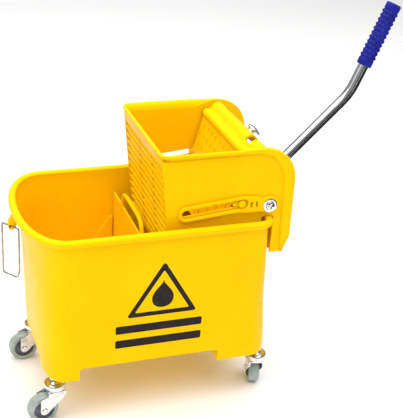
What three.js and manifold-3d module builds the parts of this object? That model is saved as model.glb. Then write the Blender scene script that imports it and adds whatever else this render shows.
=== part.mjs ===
// Mop bucket on castors with a lift-off lever wringer.
// Millimetres, +Z up. +X points to the lever, -X to the pouring front, -Y is the left side.
import * as THREE from 'three';
import { mergeVertices } from 'three/addons/utils/BufferGeometryUtils.js';
import Module from 'manifold-3d';

const wasm = await Module();
wasm.setup();

// ---- driving dimensions ----
const GAP = 0.3; // between pieces that touch
const SLIVER = 0.01; // edges shorter than this are cleared away after a cut
const RIM_Z = 340; // centre height of the rolled rim
const RIM_R = 6.5;
const WALL = 3.5;
const FOOT_Z = 83; // underside of the moulded feet
const SKIRT_Z = 106; // underside of the body between the feet
const FLOOR_Z = 112; // inside floor of the bucket
const FRONT_FOOT_END_X = -141;
const REAR_FOOT_START_X = 95;
const FOOT_INNER_Y = 60;

const STEM_X = 177;
const STEM_Y = 93;
const WHEEL_R = 25;
const WHEEL_W = 19;
const TRAIL = 21; // castor axle behind its stem
const AXLE_R = 3;

const PIVOT = new THREE.Vector2(165, 368); // lever shaft, in X and Z
const SHAFT_R = 6;
const SLOT_TILT = THREE.MathUtils.degToRad(6); // press track, falling towards the front
const PANEL_IN_Y = 109;
const PANEL_OUT_Y = 113;
const FLANGE_OUT_Y = 117;
const SHOE = new THREE.Vector2(118, 373.5); // guide pin at rest
const SLOT_FRONT_X = 20;
const SLOT_REAR_X = 136;
const SLOT_H = 9.6;

const PRESS_HALF_W = 103;
const HOOD_NOTCH = 10; // half width of the gap in the hood at each lever socket
const PLATE_TOP = new THREE.Vector2(125, 443);
const PLATE_FOOT = new THREE.Vector2(84, 293);
const PLATE_T = 5;

const LEVER_ANGLE = THREE.MathUtils.degToRad(45.3);
const LEVER_Y = 65;
const LEVER_OFFSET = 10.2; // lever tubes run this far above the shaft's centre
const TUBE_R = 8.5;
const SOCKET_R = 12.5;
const CAM_RATIO = 50; // millimetres of press travel for each radian of the lever
const CAM_START = 62; // from the shaft to the thrust pin's contact, along the track
const CAM_THICK = 10;
const CAM_Y = 32;
const CAM_W = 6;
const CAM_PIN_R = 5;
const LEVER_RANGE = THREE.MathUtils.degToRad(50);

const DIVIDER_X = -28;
const DIVIDER_TOP = 302;
const DIVIDER_T = 3;
const RIB_OFFSET = 4.8; // guide ribs in front of and behind the divider

const LOOP_R = 1.6; // wire loop under the front rim
const LOOP_EYE = new THREE.Vector3(-228.5, 0, 315);
const LOOP_DIR = new THREE.Vector3(0.61, -0.79, 0).normalize(); // hangs a little askew
const LOOP_HALF = 18;
const LOOP_DROP = 90;

const BOLT_R = 3; // cross bolt through socket and tube
const BOLT_T = 24; // its place along the socket
const CASTOR_STEM_R = 4.8;

// ---- materials ----
const plastic = (color, roughness = 0.4) => new THREE.MeshStandardMaterial({ color, roughness });
const metal = (color, roughness) => new THREE.MeshStandardMaterial({ color, roughness, metalness: 1 });
const yellow = plastic(0xf6c400);
const blue = plastic(0x1c2a9c, 0.55);
const tyreGrey = plastic(0x9aa6a2, 0.7);
const hubGrey = plastic(0x4a5560, 0.5);
const chrome = metal(0xd8dadd, 0.12);
const zinc = metal(0xb9bcc0, 0.32);
const steel = metal(0x9a9da1, 0.35);

const bucketWithWringer = new THREE.Group();

function add(name, geometry, material, parent = bucketWithWringer) {
  const mesh = new THREE.Mesh(geometry, material);
  mesh.name = name;
  parent.add(mesh);
  return mesh;
}

// ---- solids ----
function solid(geometry) {
  const bare = geometry.clone();
  bare.deleteAttribute('normal');
  bare.deleteAttribute('uv');
  const merged = mergeVertices(bare, 1e-4);
  const vertProperties = new Float32Array(merged.attributes.position.array);
  const triVerts = new Uint32Array(merged.index.array);
  return new wasm.Manifold(new wasm.Mesh({ numProp: 3, vertProperties, triVerts }));
}

function geometryOf(manifold) {
  const mesh = manifold.simplify(SLIVER).getMesh();
  const geometry = new THREE.BufferGeometry();
  geometry.setAttribute('position', new THREE.BufferAttribute(new Float32Array(mesh.vertProperties), 3));
  geometry.setIndex(new THREE.BufferAttribute(new Uint32Array(mesh.triVerts), 1));
  geometry.computeVertexNormals();
  return geometry;
}

const join = (...items) => items.reduce((sum, item) => sum.add(item));

function block(x0, x1, y0, y1, z0, z1) {
  const box = new THREE.BoxGeometry(x1 - x0, y1 - y0, z1 - z0);
  return solid(box.translate((x0 + x1) / 2, (y0 + y1) / 2, (z0 + z1) / 2));
}

// A round bar along Y.
function barY(x, z, r, y0, y1, sides = 20) {
  const bar = new THREE.CylinderGeometry(r, r, y1 - y0, sides);
  return solid(bar.translate(x, (y0 + y1) / 2, z));
}

// A round post along Z.
function postZ(x, y, r, z0, z1, sides = 20) {
  const post = new THREE.CylinderGeometry(r, r, z1 - z0, sides).rotateX(Math.PI / 2);
  return solid(post.translate(x, y, (z0 + z1) / 2));
}

// An outline in X and Z, given thickness from y0 to y1.
function slab(outline, y0, y1, curveSegments = 8) {
  const shape = outline instanceof THREE.Shape ? outline : new THREE.Shape(outline);
  const body = new THREE.ExtrudeGeometry(shape, { depth: y1 - y0, bevelEnabled: false, curveSegments });
  return solid(body.rotateX(Math.PI / 2).translate(0, y1, 0));
}

// A round rod along a curve.
function rod(curve, r, steps, sides = 10) {
  const section = new THREE.Shape().absarc(0, 0, r, 0, 2 * Math.PI);
  return new THREE.ExtrudeGeometry(section, {
    steps,
    curveSegments: sides / 2, // an arc gets two points for each segment
    extrudePath: curve,
    bevelEnabled: false,
  });
}

// A closed skin over a stack of rings that all have the same number of points.
function loft(rings) {
  const count = rings[0].length;
  const points = rings.flat();
  const index = [];
  for (let r = 0; r + 1 < rings.length; r += 1) {
    for (let i = 0; i < count; i += 1) {
      const a = r * count + i;
      const b = r * count + ((i + 1) % count);
      index.push(a, b, a + count, b, b + count, a + count);
    }
  }
  const first = points.length;
  points.push(middle(rings[0]), middle(rings[rings.length - 1]));
  const last = (rings.length - 1) * count;
  for (let i = 0; i < count; i += 1) {
    const next = (i + 1) % count;
    index.push(first, next, i);
    index.push(first + 1, last + i, last + next);
  }
  const geometry = new THREE.BufferGeometry().setFromPoints(points);
  geometry.setIndex(index);
  return solid(geometry);
}

function middle(ring) {
  const sum = ring.reduce((total, p) => total.add(p), new THREE.Vector3());
  return sum.divideScalar(ring.length);
}

// ---- bucket body ----
// Half width, front end and rear end of the outside wall, by height.
const WALL_HEIGHTS = [FOOT_Z, SKIRT_Z, 132, 196, 263, 306, 334];
const FRONT_X = [-195, -197, -199, -202, -206, -211, -219];
const REAR_X = [188, 188, 186, 179, 172, 167.5, 165];
const HALF_Y = [118.5, 119, 119.5, 121.5, 124.5, 127, 129];
const REAR_RADIUS = [30, 31, 31, 27, 17, 13, 12];
const NOSE_LENGTH = [44, 46, 48, 52, 57, 62, 64];
const NOSE_POWER = [3.6, 3.4, 3.1, 2.8, 2.5, 2.3, 2.2];
const NOSE_STEPS = 14;
const CORNER_STEPS = 4;

// One level ring: a blunt curved nose at the front and two small corners at the rear.
function bodyRing(level, grow, z) {
  const front = FRONT_X[level] - grow;
  const rear = REAR_X[level] + grow;
  const half = HALF_Y[level] + grow;
  const radius = Math.max(REAR_RADIUS[level] + grow, 4);
  const nose = NOSE_LENGTH[level] + grow;
  const ring = [];
  for (const side of [-1, 1]) {
    const start = side < 0 ? -Math.PI / 2 : 0;
    for (let i = 0; i <= CORNER_STEPS; i += 1) {
      const a = start + (i / CORNER_STEPS) * (Math.PI / 2);
      const x = rear - radius + radius * Math.cos(a);
      ring.push(new THREE.Vector3(x, side * (half - radius) + radius * Math.sin(a), z));
    }
  }
  for (let i = 0; i <= NOSE_STEPS; i += 1) {
    const a = Math.PI / 2 + (i / NOSE_STEPS) * Math.PI;
    const blunt = 2 / NOSE_POWER[level];
    const cos = Math.abs(Math.cos(a)) ** blunt;
    const sin = Math.sign(Math.sin(a)) * Math.abs(Math.sin(a)) ** blunt;
    ring.push(new THREE.Vector3(front + nose - nose * cos, half * sin, z));
  }
  return ring;
}

function bucketBody() {
  const top = WALL_HEIGHTS.length - 1;
  const rings = WALL_HEIGHTS.map((z, level) => bodyRing(level, 0, z));
  // the rolled rim turns outwards round its own centre and comes down inside
  const roll = 8;
  for (let i = 1; i < roll; i += 1) {
    const a = -2.2 + (i / roll) * 4.9;
    rings.push(bodyRing(top, 2 + RIM_R * Math.cos(a), RIM_Z + RIM_R * Math.sin(a)));
  }
  for (let level = top; level > 1; level -= 1) {
    rings.push(bodyRing(level, -WALL, WALL_HEIGHTS[level]));
  }
  rings.push(bodyRing(1, -WALL - 4, FLOOR_Z));
  let body = loft(rings);
  const far = 300;
  body = body.subtract(block(FRONT_FOOT_END_X, REAR_FOOT_START_X, -far, far, 0, SKIRT_Z));
  body = body.subtract(block(-far, far, -FOOT_INNER_Y, FOOT_INNER_Y, 0, SKIRT_Z));
  for (const sx of [-1, 1]) {
    for (const sy of [-1, 1]) {
      body = body.subtract(postZ(sx * STEM_X, sy * STEM_Y, CASTOR_STEM_R + 0.5, FOOT_Z - 1, FLOOR_Z - 8, 16));
    }
  }
  // pairs of ribs inside that guide the divider, trimmed to the wall
  const inWall = loft(WALL_HEIGHTS.map((z, level) => bodyRing(level, -1, z)));
  for (const side of [-1, 1]) {
    for (const offset of [-RIB_OFFSET, RIB_OFFSET]) {
      const x = DIVIDER_X + offset;
      const [y0, y1] = sideSpan(side, 112, 130);
      body = body.add(block(x - 1.6, x + 1.6, y0, y1, FLOOR_Z - 2, 256).intersect(inWall));
    }
  }
  // hook under the front rim that the wire loop hangs in
  const hook = [
    new THREE.Vector2(-217, 333), new THREE.Vector2(-213, 318), new THREE.Vector2(-221, 307),
    new THREE.Vector2(-228, 302.5), new THREE.Vector2(-233, 309), new THREE.Vector2(-233.5, 322),
    new THREE.Vector2(-227.5, 333),
  ];
  const [eyeStart, eyeEnd] = [-40, 40].map((s) => LOOP_EYE.clone().addScaledVector(LOOP_DIR, s));
  const eye = solid(rod(new THREE.LineCurve3(eyeStart, eyeEnd), LOOP_R + 1, 1, 12));
  return body.add(slab(hook, -6, 6)).subtract(eye);
}

// ---- wire loop at the front ----
function wireLoop() {
  const path = new THREE.CurvePath();
  const corner = (s, drop) => LOOP_EYE.clone().addScaledVector(LOOP_DIR, s).setZ(LOOP_EYE.z - drop);
  const stops = [corner(0.2, 0), corner(LOOP_HALF, 0), corner(LOOP_HALF, LOOP_DROP - 14),
    corner(LOOP_HALF - 5, LOOP_DROP), corner(-LOOP_HALF, LOOP_DROP), corner(-LOOP_HALF, 0), corner(-0.2, 0)];
  const bend = 4;
  let start = stops[0];
  for (let i = 1; i + 1 < stops.length; i += 1) {
    const before = stops[i].clone().lerp(stops[i - 1], bend / stops[i].distanceTo(stops[i - 1]));
    const after = stops[i].clone().lerp(stops[i + 1], bend / stops[i].distanceTo(stops[i + 1]));
    path.add(new THREE.LineCurve3(start, before));
    path.add(new THREE.QuadraticBezierCurve3(before, stops[i], after));
    start = after;
  }
  path.add(new THREE.LineCurve3(start, stops[stops.length - 1]));
  return rod(path, LOOP_R, 40, 6);
}

// ---- divider that keeps clean and dirty water apart ----
function dividerPlate() {
  const half = 120;
  const shape = new THREE.Shape([
    new THREE.Vector2(-half + 13, FLOOR_Z + 1), new THREE.Vector2(half - 13, FLOOR_Z + 1),
    new THREE.Vector2(half - 6, 142), new THREE.Vector2(half, DIVIDER_TOP),
    new THREE.Vector2(-half, DIVIDER_TOP), new THREE.Vector2(-half + 6, 142),
  ]);
  const sheet = new THREE.ExtrudeGeometry(shape, { depth: DIVIDER_T, bevelEnabled: false });
  const turn = new THREE.Matrix4().makeBasis(
    new THREE.Vector3(0, 1, 0), new THREE.Vector3(0, 0, 1), new THREE.Vector3(1, 0, 0));
  const plate = solid(sheet.applyMatrix4(turn).translate(DIVIDER_X - DIVIDER_T / 2, 0, 0));
  const arch = new THREE.CatmullRomCurve3([
    [-60, 295], [-60, 309], [-54, 322], [-40, 328.5], [0, 329.5],
    [40, 328.5], [54, 322], [60, 309], [60, 295],
  ].map(([y, z]) => new THREE.Vector3(DIVIDER_X, y, z)));
  return plate.add(solid(rod(arch, 3.6, 18, 6)));
}

// ---- wringer ----
const GRATE_TOP = new THREE.Vector2(-17, 466);
const GRATE_FOOT = new THREE.Vector2(3, 272);
const NOTCH_FRONT_X = 154.5;
const NOTCH_REAR_X = 175;
const NOTCH_TOP_Z = RIM_Z + RIM_R + GAP;
const GRATE_DEPTH = 11;
const FIRST_SHELF = 25; // below the top edge
const SHELVES = 13;
const APRON_TOP = 338;

// Outline of a side panel, drawn inwards by a margin.
function panelOutline(margin) {
  const shape = new THREE.Shape();
  const slope = (GRATE_FOOT.x - GRATE_TOP.x) / (GRATE_TOP.y - GRATE_FOOT.y);
  const at = (z) => GRATE_TOP.x + (GRATE_TOP.y - z) * slope + margin;
  shape.moveTo(at(GRATE_TOP.y - margin), GRATE_TOP.y - margin);
  shape.lineTo(at(GRATE_FOOT.y + margin), GRATE_FOOT.y + margin);
  shape.lineTo(NOTCH_FRONT_X - margin, GRATE_FOOT.y + margin);
  shape.lineTo(NOTCH_FRONT_X - margin, NOTCH_TOP_Z + margin);
  shape.lineTo(NOTCH_REAR_X + margin, NOTCH_TOP_Z + margin);
  shape.lineTo(NOTCH_REAR_X + margin - 1, 279 + margin);
  shape.lineTo(194 - margin, 279 + margin);
  shape.lineTo(206 - margin * 1.6, 308);
  shape.lineTo(206 - margin * 1.6, 404);
  shape.bezierCurveTo(206 - margin * 1.6, 442, 182 - margin, GRATE_TOP.y - margin, 142, GRATE_TOP.y - margin);
  return shape;
}

// The sloping track that the press runs in, as an outline of a given height.
function trackOutline(frontX, rearX, height) {
  const shape = new THREE.Shape();
  const dir = new THREE.Vector2(Math.cos(SLOT_TILT), Math.sin(SLOT_TILT));
  const along = (x) => SHOE.clone().addScaledVector(dir, (x - SHOE.x) / dir.x);
  const r = height / 2;
  const front = along(frontX + r);
  const rear = along(rearX - r);
  shape.absarc(front.x, front.y, r, Math.PI / 2 + SLOT_TILT, Math.PI * 1.5 + SLOT_TILT);
  shape.absarc(rear.x, rear.y, r, -Math.PI / 2 + SLOT_TILT, Math.PI / 2 + SLOT_TILT);
  return shape;
}

// y range on one side of the object, given inner and outer distances from the middle.
const sideSpan = (side, inner, outer) => (side < 0 ? [-outer, -inner] : [inner, outer]);

// One side of the wringer, with its rear leg and the slot for the press.
function sidePanel(side) {
  const [y0, y1] = sideSpan(side, PANEL_IN_Y, PANEL_OUT_Y);
  const [f0, f1] = sideSpan(side, PANEL_OUT_Y - 1, FLANGE_OUT_Y);
  const sheet = slab(panelOutline(0), y0, y1, 10);
  let flange = slab(panelOutline(0), f0, f1, 10).subtract(slab(panelOutline(9), f0 - 1, f1 + 1, 10));
  // the flange frames only the part above the bucket's rim and the rear leg
  flange = flange.subtract(block(-60, NOTCH_REAR_X, f0 - 1, f1 + 1, 200, NOTCH_TOP_Z + 9.5));
  let panel = sheet.add(flange);
  panel = panel.subtract(slab(trackOutline(SLOT_FRONT_X, SLOT_REAR_X, SLOT_H), y0 - 1, y1 + 1));
  return panel.subtract(barY(PIVOT.x, PIVOT.y, SHAFT_R + GAP, y0 - 5, y1 + 5));
}

const INNER_HALF_W = PANEL_IN_Y - GAP; // reach of the pieces between the panels

// Louvred front between the panels: shelves in three columns between four ribs.
function frontGrate() {
  const drop = GRATE_TOP.clone().sub(GRATE_FOOT);
  const length = drop.length();
  const lean = Math.atan2(-drop.x, drop.y);
  // built upright with its outside face on X = 0, then leaned back
  let lattice = block(0, 7, -INNER_HALF_W, INNER_HALF_W, -10, -0.6);
  const ribT = 3;
  for (const rib of [-1, -1 / 3, 1 / 3, 1]) {
    const y = rib * (INNER_HALF_W - ribT / 2);
    lattice = lattice.add(block(0, GRATE_DEPTH, y - ribT / 2, y + ribT / 2, 2 - length, -5));
  }
  const pitch = (length - FIRST_SHELF - 13) / (SHELVES - 1);
  for (let row = 0; row < SHELVES; row += 1) {
    const z = -FIRST_SHELF - row * pitch;
    lattice = lattice.add(block(0, GRATE_DEPTH - 0.4, -INNER_HALF_W + 1, INNER_HALF_W - 1, z - 1.6, z + 1.6));
  }
  lattice = lattice.add(block(0, GRATE_DEPTH, -INNER_HALF_W, INNER_HALF_W, -length, 5 - length));
  const lay = new THREE.Matrix4().makeRotationY(-lean).setPosition(GRATE_TOP.x, 0, GRATE_TOP.y);
  return lattice.transform(lay.toArray());
}

// Cross bars under the mop, clear of the lever's horns behind them.
function drainFloor() {
  const floorZ = GRATE_FOOT.y;
  const start = GRATE_FOOT.x + GRATE_DEPTH + 2;
  let bars = block(start, start + 4, -INNER_HALF_W, INNER_HALF_W, floorZ, floorZ + 6);
  for (let x = start + 13; x <= 70; x += 13) {
    bars = bars.add(block(x, x + 4, -INNER_HALF_W, INNER_HALF_W, floorZ, floorZ + 6));
  }
  for (const y of [-70, 0, 70]) {
    bars = bars.add(block(start + 1, 71, y - 3, y + 3, floorZ, floorZ + 5));
  }
  return bars;
}

// Wall between the legs that hangs behind the bucket's rear rim.
function rearApron() {
  const front = NOTCH_REAR_X + GAP;
  const wall = block(front, front + 3, -INNER_HALF_W, INNER_HALF_W, 281, APRON_TOP);
  return wall.add(block(front, front + 7, -INNER_HALF_W, INNER_HALF_W, APRON_TOP - 3, APRON_TOP));
}

// ---- slotted guide rail on the outside of a panel ----
function guideRail(side) {
  const [y0, y1] = sideSpan(side, PANEL_OUT_Y + GAP, PANEL_OUT_Y + 5);
  const outline = new THREE.Shape();
  const track = (x, up) => SHOE.y + (x - SHOE.x) * Math.tan(SLOT_TILT) + up;
  const half = 13.5;
  const waist = 12;
  outline.absarc(26, track(26, 0), half, Math.PI / 2 + SLOT_TILT, Math.PI * 1.5 + SLOT_TILT);
  outline.lineTo(104, track(104, -half));
  outline.bezierCurveTo(116, track(116, -half), 124, PIVOT.y - waist, 134, PIVOT.y - waist + 1);
  outline.lineTo(152, PIVOT.y - waist + 1);
  outline.absarc(PIVOT.x, PIVOT.y, 15.5, Math.PI * 1.25, Math.PI * 2.75);
  outline.bezierCurveTo(146, PIVOT.y + 17, 136, PIVOT.y + 17, 128, PIVOT.y + 18);
  outline.bezierCurveTo(118, PIVOT.y + 20, 110, track(106, half), 100, track(100, half));
  let rail = slab(outline, y0, y1, 5);
  rail = rail.subtract(slab(trackOutline(18, 128, 14), y0 - 1, y1 + 1));
  for (const x of [133.5, 142.5]) {
    rail = rail.subtract(block(x - 1.6, x + 1.6, y0 - 1, y1 + 1, PIVOT.y - 1, PIVOT.y + 8));
  }
  return rail.subtract(barY(PIVOT.x, PIVOT.y, SHAFT_R + GAP, y0 - 1, y1 + 1));
}

// Shoe in the panel's slot, with the round pin that shows in the rail.
function guideShoe(side) {
  const [y0, y1] = sideSpan(side, PRESS_HALF_W + GAP, PANEL_OUT_Y - GAP);
  const [n0, n1] = sideSpan(side, PANEL_OUT_Y - 2, PANEL_OUT_Y + 1);
  const [p0, p1] = sideSpan(side, PANEL_OUT_Y + GAP, PANEL_OUT_Y + 5.5);
  const runner = slab(trackOutline(SHOE.x - 15, SHOE.x + 15, SLOT_H - 0.8), y0, y1);
  const neck = barY(SHOE.x, SHOE.y, 4, n0, n1, 12);
  return join(runner, neck, barY(SHOE.x, SHOE.y, 6, p0, p1, 16));
}

// ---- press plate, hood and thrust pins ----
const trackDir = new THREE.Vector2(-Math.cos(SLOT_TILT), -Math.sin(SLOT_TILT)); // towards the front
const trackDown = new THREE.Vector2(Math.sin(SLOT_TILT), -Math.cos(SLOT_TILT));
const onCamLine = (d) => PIVOT.clone()
  .addScaledVector(trackDir, d)
  .addScaledVector(trackDown, CAM_RATIO);
const THRUST_PIN = onCamLine(CAM_START + CAM_PIN_R);
const RETURN_PIN = onCamLine(CAM_START - CAM_THICK - CAM_PIN_R);

function pressPlate() {
  const lean = PLATE_TOP.clone().sub(PLATE_FOOT).normalize();
  const back = new THREE.Vector2(lean.y, -lean.x).multiplyScalar(PLATE_T);
  const face = [PLATE_FOOT, PLATE_TOP, PLATE_TOP.clone().add(back), PLATE_FOOT.clone().add(back)];
  let plate = slab(face, -PRESS_HALF_W, PRESS_HALF_W);
  plate = plate.add(barY(PLATE_TOP.x + 4, PLATE_TOP.y + 3, 8, -PRESS_HALF_W, PRESS_HALF_W, 18));
  plate = plate.add(barY(PLATE_FOOT.x + 3, PLATE_FOOT.y, 4.5, -PRESS_HALF_W, PRESS_HALF_W, 12));
  // narrow drain slits in staggered rows
  const rows = 6;
  const slit = new THREE.BoxGeometry(30, 2.6, 9);
  const tilt = new THREE.Matrix4().makeRotationY(Math.atan2(lean.x, lean.y));
  for (let row = 0; row < rows; row += 1) {
    const shift = row % 2 ? 11 : 0;
    const spot = PLATE_FOOT.clone().lerp(PLATE_TOP, (row + 0.9) / (rows + 0.9));
    for (let y = -88 + shift; y <= 90; y += 22) {
      plate = plate.subtract(solid(slit.clone().applyMatrix4(tilt).translate(spot.x, y, spot.y)));
    }
  }
  const shoePlate = [
    new THREE.Vector2(108, 386), new THREE.Vector2(134, 386),
    new THREE.Vector2(134, 362), new THREE.Vector2(104, 362),
  ];
  for (const side of [-1, 1]) {
    const [y0, y1] = sideSpan(side, PRESS_HALF_W - 4, PRESS_HALF_W);
    plate = plate.add(slab(shoePlate, y0, y1));
  }
  // cheeks that hold the thrust pins
  const cheek = [
    new THREE.Vector2(118, 400), new THREE.Vector2(128, 345), new THREE.Vector2(RETURN_PIN.x + 9, 326),
    new THREE.Vector2(RETURN_PIN.x + 9, 303), new THREE.Vector2(92, 300), new THREE.Vector2(102, 345),
  ];
  for (const side of [-1, 1]) {
    const [y0, y1] = sideSpan(side, 43, 47);
    plate = plate.add(slab(cheek, y0, y1));
  }
  for (const pin of [THRUST_PIN, RETURN_PIN]) {
    plate = plate.subtract(barY(pin.x, pin.y, CAM_PIN_R + GAP, -60, 60, 18));
  }
  return plate;
}

function pressHood() {
  const outer = new THREE.Shape();
  outer.moveTo(138, 451.5);
  outer.bezierCurveTo(139, 457, 141, 464, 149, 464);
  outer.bezierCurveTo(158, 464, 167, 452, 174, 431);
  outer.lineTo(170.6, 430);
  outer.bezierCurveTo(163.5, 449, 157, 460.4, 149.5, 460.4);
  outer.bezierCurveTo(144, 460, 142.5, 455, 141, 447);
  outer.lineTo(137.4, 448.2);
  let hood = slab(outer, -PRESS_HALF_W, PRESS_HALF_W, 9);
  // notch in the middle of the rear edge
  hood = hood.subtract(block(166, 215, -9, 9, 400, 441));
  const web = [
    new THREE.Vector2(139.5, 450), new THREE.Vector2(143, 459), new THREE.Vector2(150, 462),
    new THREE.Vector2(159, 457.5), new THREE.Vector2(166, 447), new THREE.Vector2(150, 444),
  ];
  for (const side of [-1, 1]) {
    const [w0, w1] = sideSpan(side, PRESS_HALF_W - 3, PRESS_HALF_W);
    hood = hood.add(slab(web, w0, w1));
    // each lever tube leans back through a notch in the crest
    const [n0, n1] = sideSpan(side, LEVER_Y - HOOD_NOTCH, LEVER_Y + HOOD_NOTCH);
    hood = hood.subtract(block(145, 200, n0, n1, 446, 480));
  }
  return hood;
}

// ---- lever: yoke with two sockets and two cam horns ----
const leverDir = new THREE.Vector2(Math.cos(LEVER_ANGLE), Math.sin(LEVER_ANGLE));
const leverUp = new THREE.Vector2(-Math.sin(LEVER_ANGLE), Math.cos(LEVER_ANGLE));
const leverPoint = (t, side) => {
  const p = PIVOT.clone().addScaledVector(leverUp, LEVER_OFFSET).addScaledVector(leverDir, t);
  return new THREE.Vector3(p.x, side * LEVER_Y, p.y);
};

function straightTube(t0, t1, side, r, sides = 20) {
  const bar = new THREE.CylinderGeometry(r, r, t1 - t0, sides);
  const spin = new THREE.Quaternion().setFromUnitVectors(
    new THREE.Vector3(0, 1, 0), new THREE.Vector3(leverDir.x, 0, leverDir.y));
  bar.applyQuaternion(spin);
  const centre = leverPoint((t0 + t1) / 2, side);
  return solid(bar.translate(centre.x, centre.y, centre.z));
}

// The cam's working face is an involute of a circle round the shaft, so the press moves in
// proportion to the lever. Its back is a parallel involute that pulls the press home.
function camOutline() {
  const faceAt = (start, angle, inset) => {
    const d = start + CAM_RATIO * angle + inset;
    const p = trackDir.clone().multiplyScalar(d).addScaledVector(trackDown, CAM_RATIO);
    return p.rotateAround(new THREE.Vector2(), angle).add(PIVOT);
  };
  const from = -0.14;
  const to = LEVER_RANGE + 0.02;
  const steps = 14;
  const outline = [];
  for (let i = 0; i <= steps; i += 1) {
    outline.push(faceAt(CAM_START, from + ((to - from) * i) / steps, -GAP));
  }
  for (let i = steps; i >= 0; i -= 1) {
    outline.push(faceAt(CAM_START - CAM_THICK, from + ((to - from) * i) / steps, GAP));
  }
  return outline;
}

function handleYoke() {
  let yoke = barY(PIVOT.x, PIVOT.y, 13, -80, 80, 22);
  for (const side of [-1, 1]) {
    const [y0, y1] = sideSpan(side, CAM_Y - CAM_W / 2, CAM_Y + CAM_W / 2);
    const horn = camOutline();
    const arm = [
      new THREE.Vector2(PIVOT.x + 2, PIVOT.y + 9), new THREE.Vector2(PIVOT.x - 9, PIVOT.y + 9),
      horn[0], horn[1], horn[horn.length - 2], horn[horn.length - 1],
      new THREE.Vector2(PIVOT.x - 1, PIVOT.y - 11),
    ];
    yoke = yoke.add(slab(horn, y0, y1)).add(slab(arm, y0, y1));
    yoke = yoke.add(straightTube(-2, 40, side, SOCKET_R));
  }
  for (const side of [-1, 1]) {
    yoke = yoke.subtract(straightTube(8, 60, side, TUBE_R + GAP));
  }
  yoke = yoke.subtract(barY(BOLT_AT.x, BOLT_AT.z, BOLT_R + GAP, -100, -40, 12));
  return yoke.subtract(barY(PIVOT.x, PIVOT.y, SHAFT_R + GAP, -100, 100));
}

const BOLT_AT = leverPoint(BOLT_T, -1);
const BEND = leverPoint(216, -1);
const GRIP_TOP = new THREE.Vector3(369, -LEVER_Y, 673);
const gripDir = GRIP_TOP.clone().sub(BEND).normalize();
const GRIP_LENGTH = 106;

function handleTube() {
  const path = new THREE.CurvePath();
  const start = leverPoint(9, -1);
  const bendRadius = 30;
  const before = BEND.clone().lerp(start, bendRadius / BEND.distanceTo(start));
  const after = BEND.clone().addScaledVector(gripDir, bendRadius);
  path.add(new THREE.LineCurve3(start, before));
  path.add(new THREE.QuadraticBezierCurve3(before, BEND, after));
  path.add(new THREE.LineCurve3(after, GRIP_TOP.clone().addScaledVector(gripDir, -6)));
  const tube = solid(rod(path, TUBE_R, 16, 14));
  return tube.subtract(barY(BOLT_AT.x, BOLT_AT.z, BOLT_R + GAP, -100, -40, 12));
}

function handleGrip() {
  const r = 12.5;
  const bore = TUBE_R + GAP;
  const closed = GRIP_LENGTH - 5;
  const profile = [
    [bore, 0], [r - 1, 0], [r, 1], [r, 9], [r - 0.8, 10], [r - 0.8, GRIP_LENGTH - 10],
    [r, GRIP_LENGTH - 9], [r, GRIP_LENGTH - 2], [r - 2, GRIP_LENGTH], [0, GRIP_LENGTH],
    [0, closed], [bore, closed], [bore, 0],
  ].map(([x, y]) => new THREE.Vector2(x, y));
  const grip = new THREE.LatheGeometry(profile, 24);
  const spin = new THREE.Quaternion().setFromUnitVectors(new THREE.Vector3(0, 1, 0), gripDir);
  const foot = GRIP_TOP.clone().addScaledVector(gripDir, -GRIP_LENGTH);
  return grip.applyQuaternion(spin).translate(foot.x, foot.y, foot.z);
}

function spareCap() {
  const stem = straightTube(9, 42, 1, TUBE_R);
  const sleeve = straightTube(41, 64.5, 1, 12.4);
  const head = straightTube(64, 69.5, 1, 13);
  const dome = straightTube(69, 71.5, 1, 10);
  return join(stem, sleeve, head, dome);
}

// ---- shaft, washers, screws, springs ----
function shaftWasher(side) {
  const [y0, y1] = sideSpan(side, PANEL_OUT_Y + 5 + GAP, PANEL_OUT_Y + 6.8);
  return barY(PIVOT.x, PIVOT.y, 11.5, y0, y1, 24).subtract(barY(PIVOT.x, PIVOT.y, 3.2, y0 - 1, y1 + 1, 12));
}

function shaftScrew(side) {
  const outer = PANEL_OUT_Y + 10;
  const [h0, h1] = sideSpan(side, PANEL_OUT_Y + 6.8 + GAP, outer);
  const [s0, s1] = sideSpan(side, PANEL_OUT_Y - 6, outer - 1);
  let screw = barY(PIVOT.x, PIVOT.y, 7, h0, h1, 20).add(barY(PIVOT.x, PIVOT.y, 2.8, s0, s1, 12));
  const [c0, c1] = sideSpan(side, outer - 1.8, outer + 1);
  screw = screw.subtract(block(PIVOT.x - 4, PIVOT.x + 4, c0, c1, PIVOT.y - 1, PIVOT.y + 1));
  return screw.subtract(block(PIVOT.x - 1, PIVOT.x + 1, c0, c1, PIVOT.y - 4, PIVOT.y + 4));
}

function pivotShaft() {
  const end = PANEL_OUT_Y + 5;
  const shaft = barY(PIVOT.x, PIVOT.y, SHAFT_R, -end, end, 20);
  return [-1, 1].reduce((rest, side) => {
    const [y0, y1] = sideSpan(side, end - 14, end + 1);
    return rest.subtract(barY(PIVOT.x, PIVOT.y, 2.8 + GAP, y0, y1, 12));
  }, shaft);
}

class Helix extends THREE.Curve {
  constructor(side) {
    super();
    this.side = side;
  }

  getPoint(t, target = new THREE.Vector3()) {
    const turns = 3;
    const a = t * turns * 2 * Math.PI;
    const r = 10.4;
    return target.set(PIVOT.x + r * Math.cos(a), this.side * (84 + 17 * t), PIVOT.y + r * Math.sin(a));
  }
}

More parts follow.
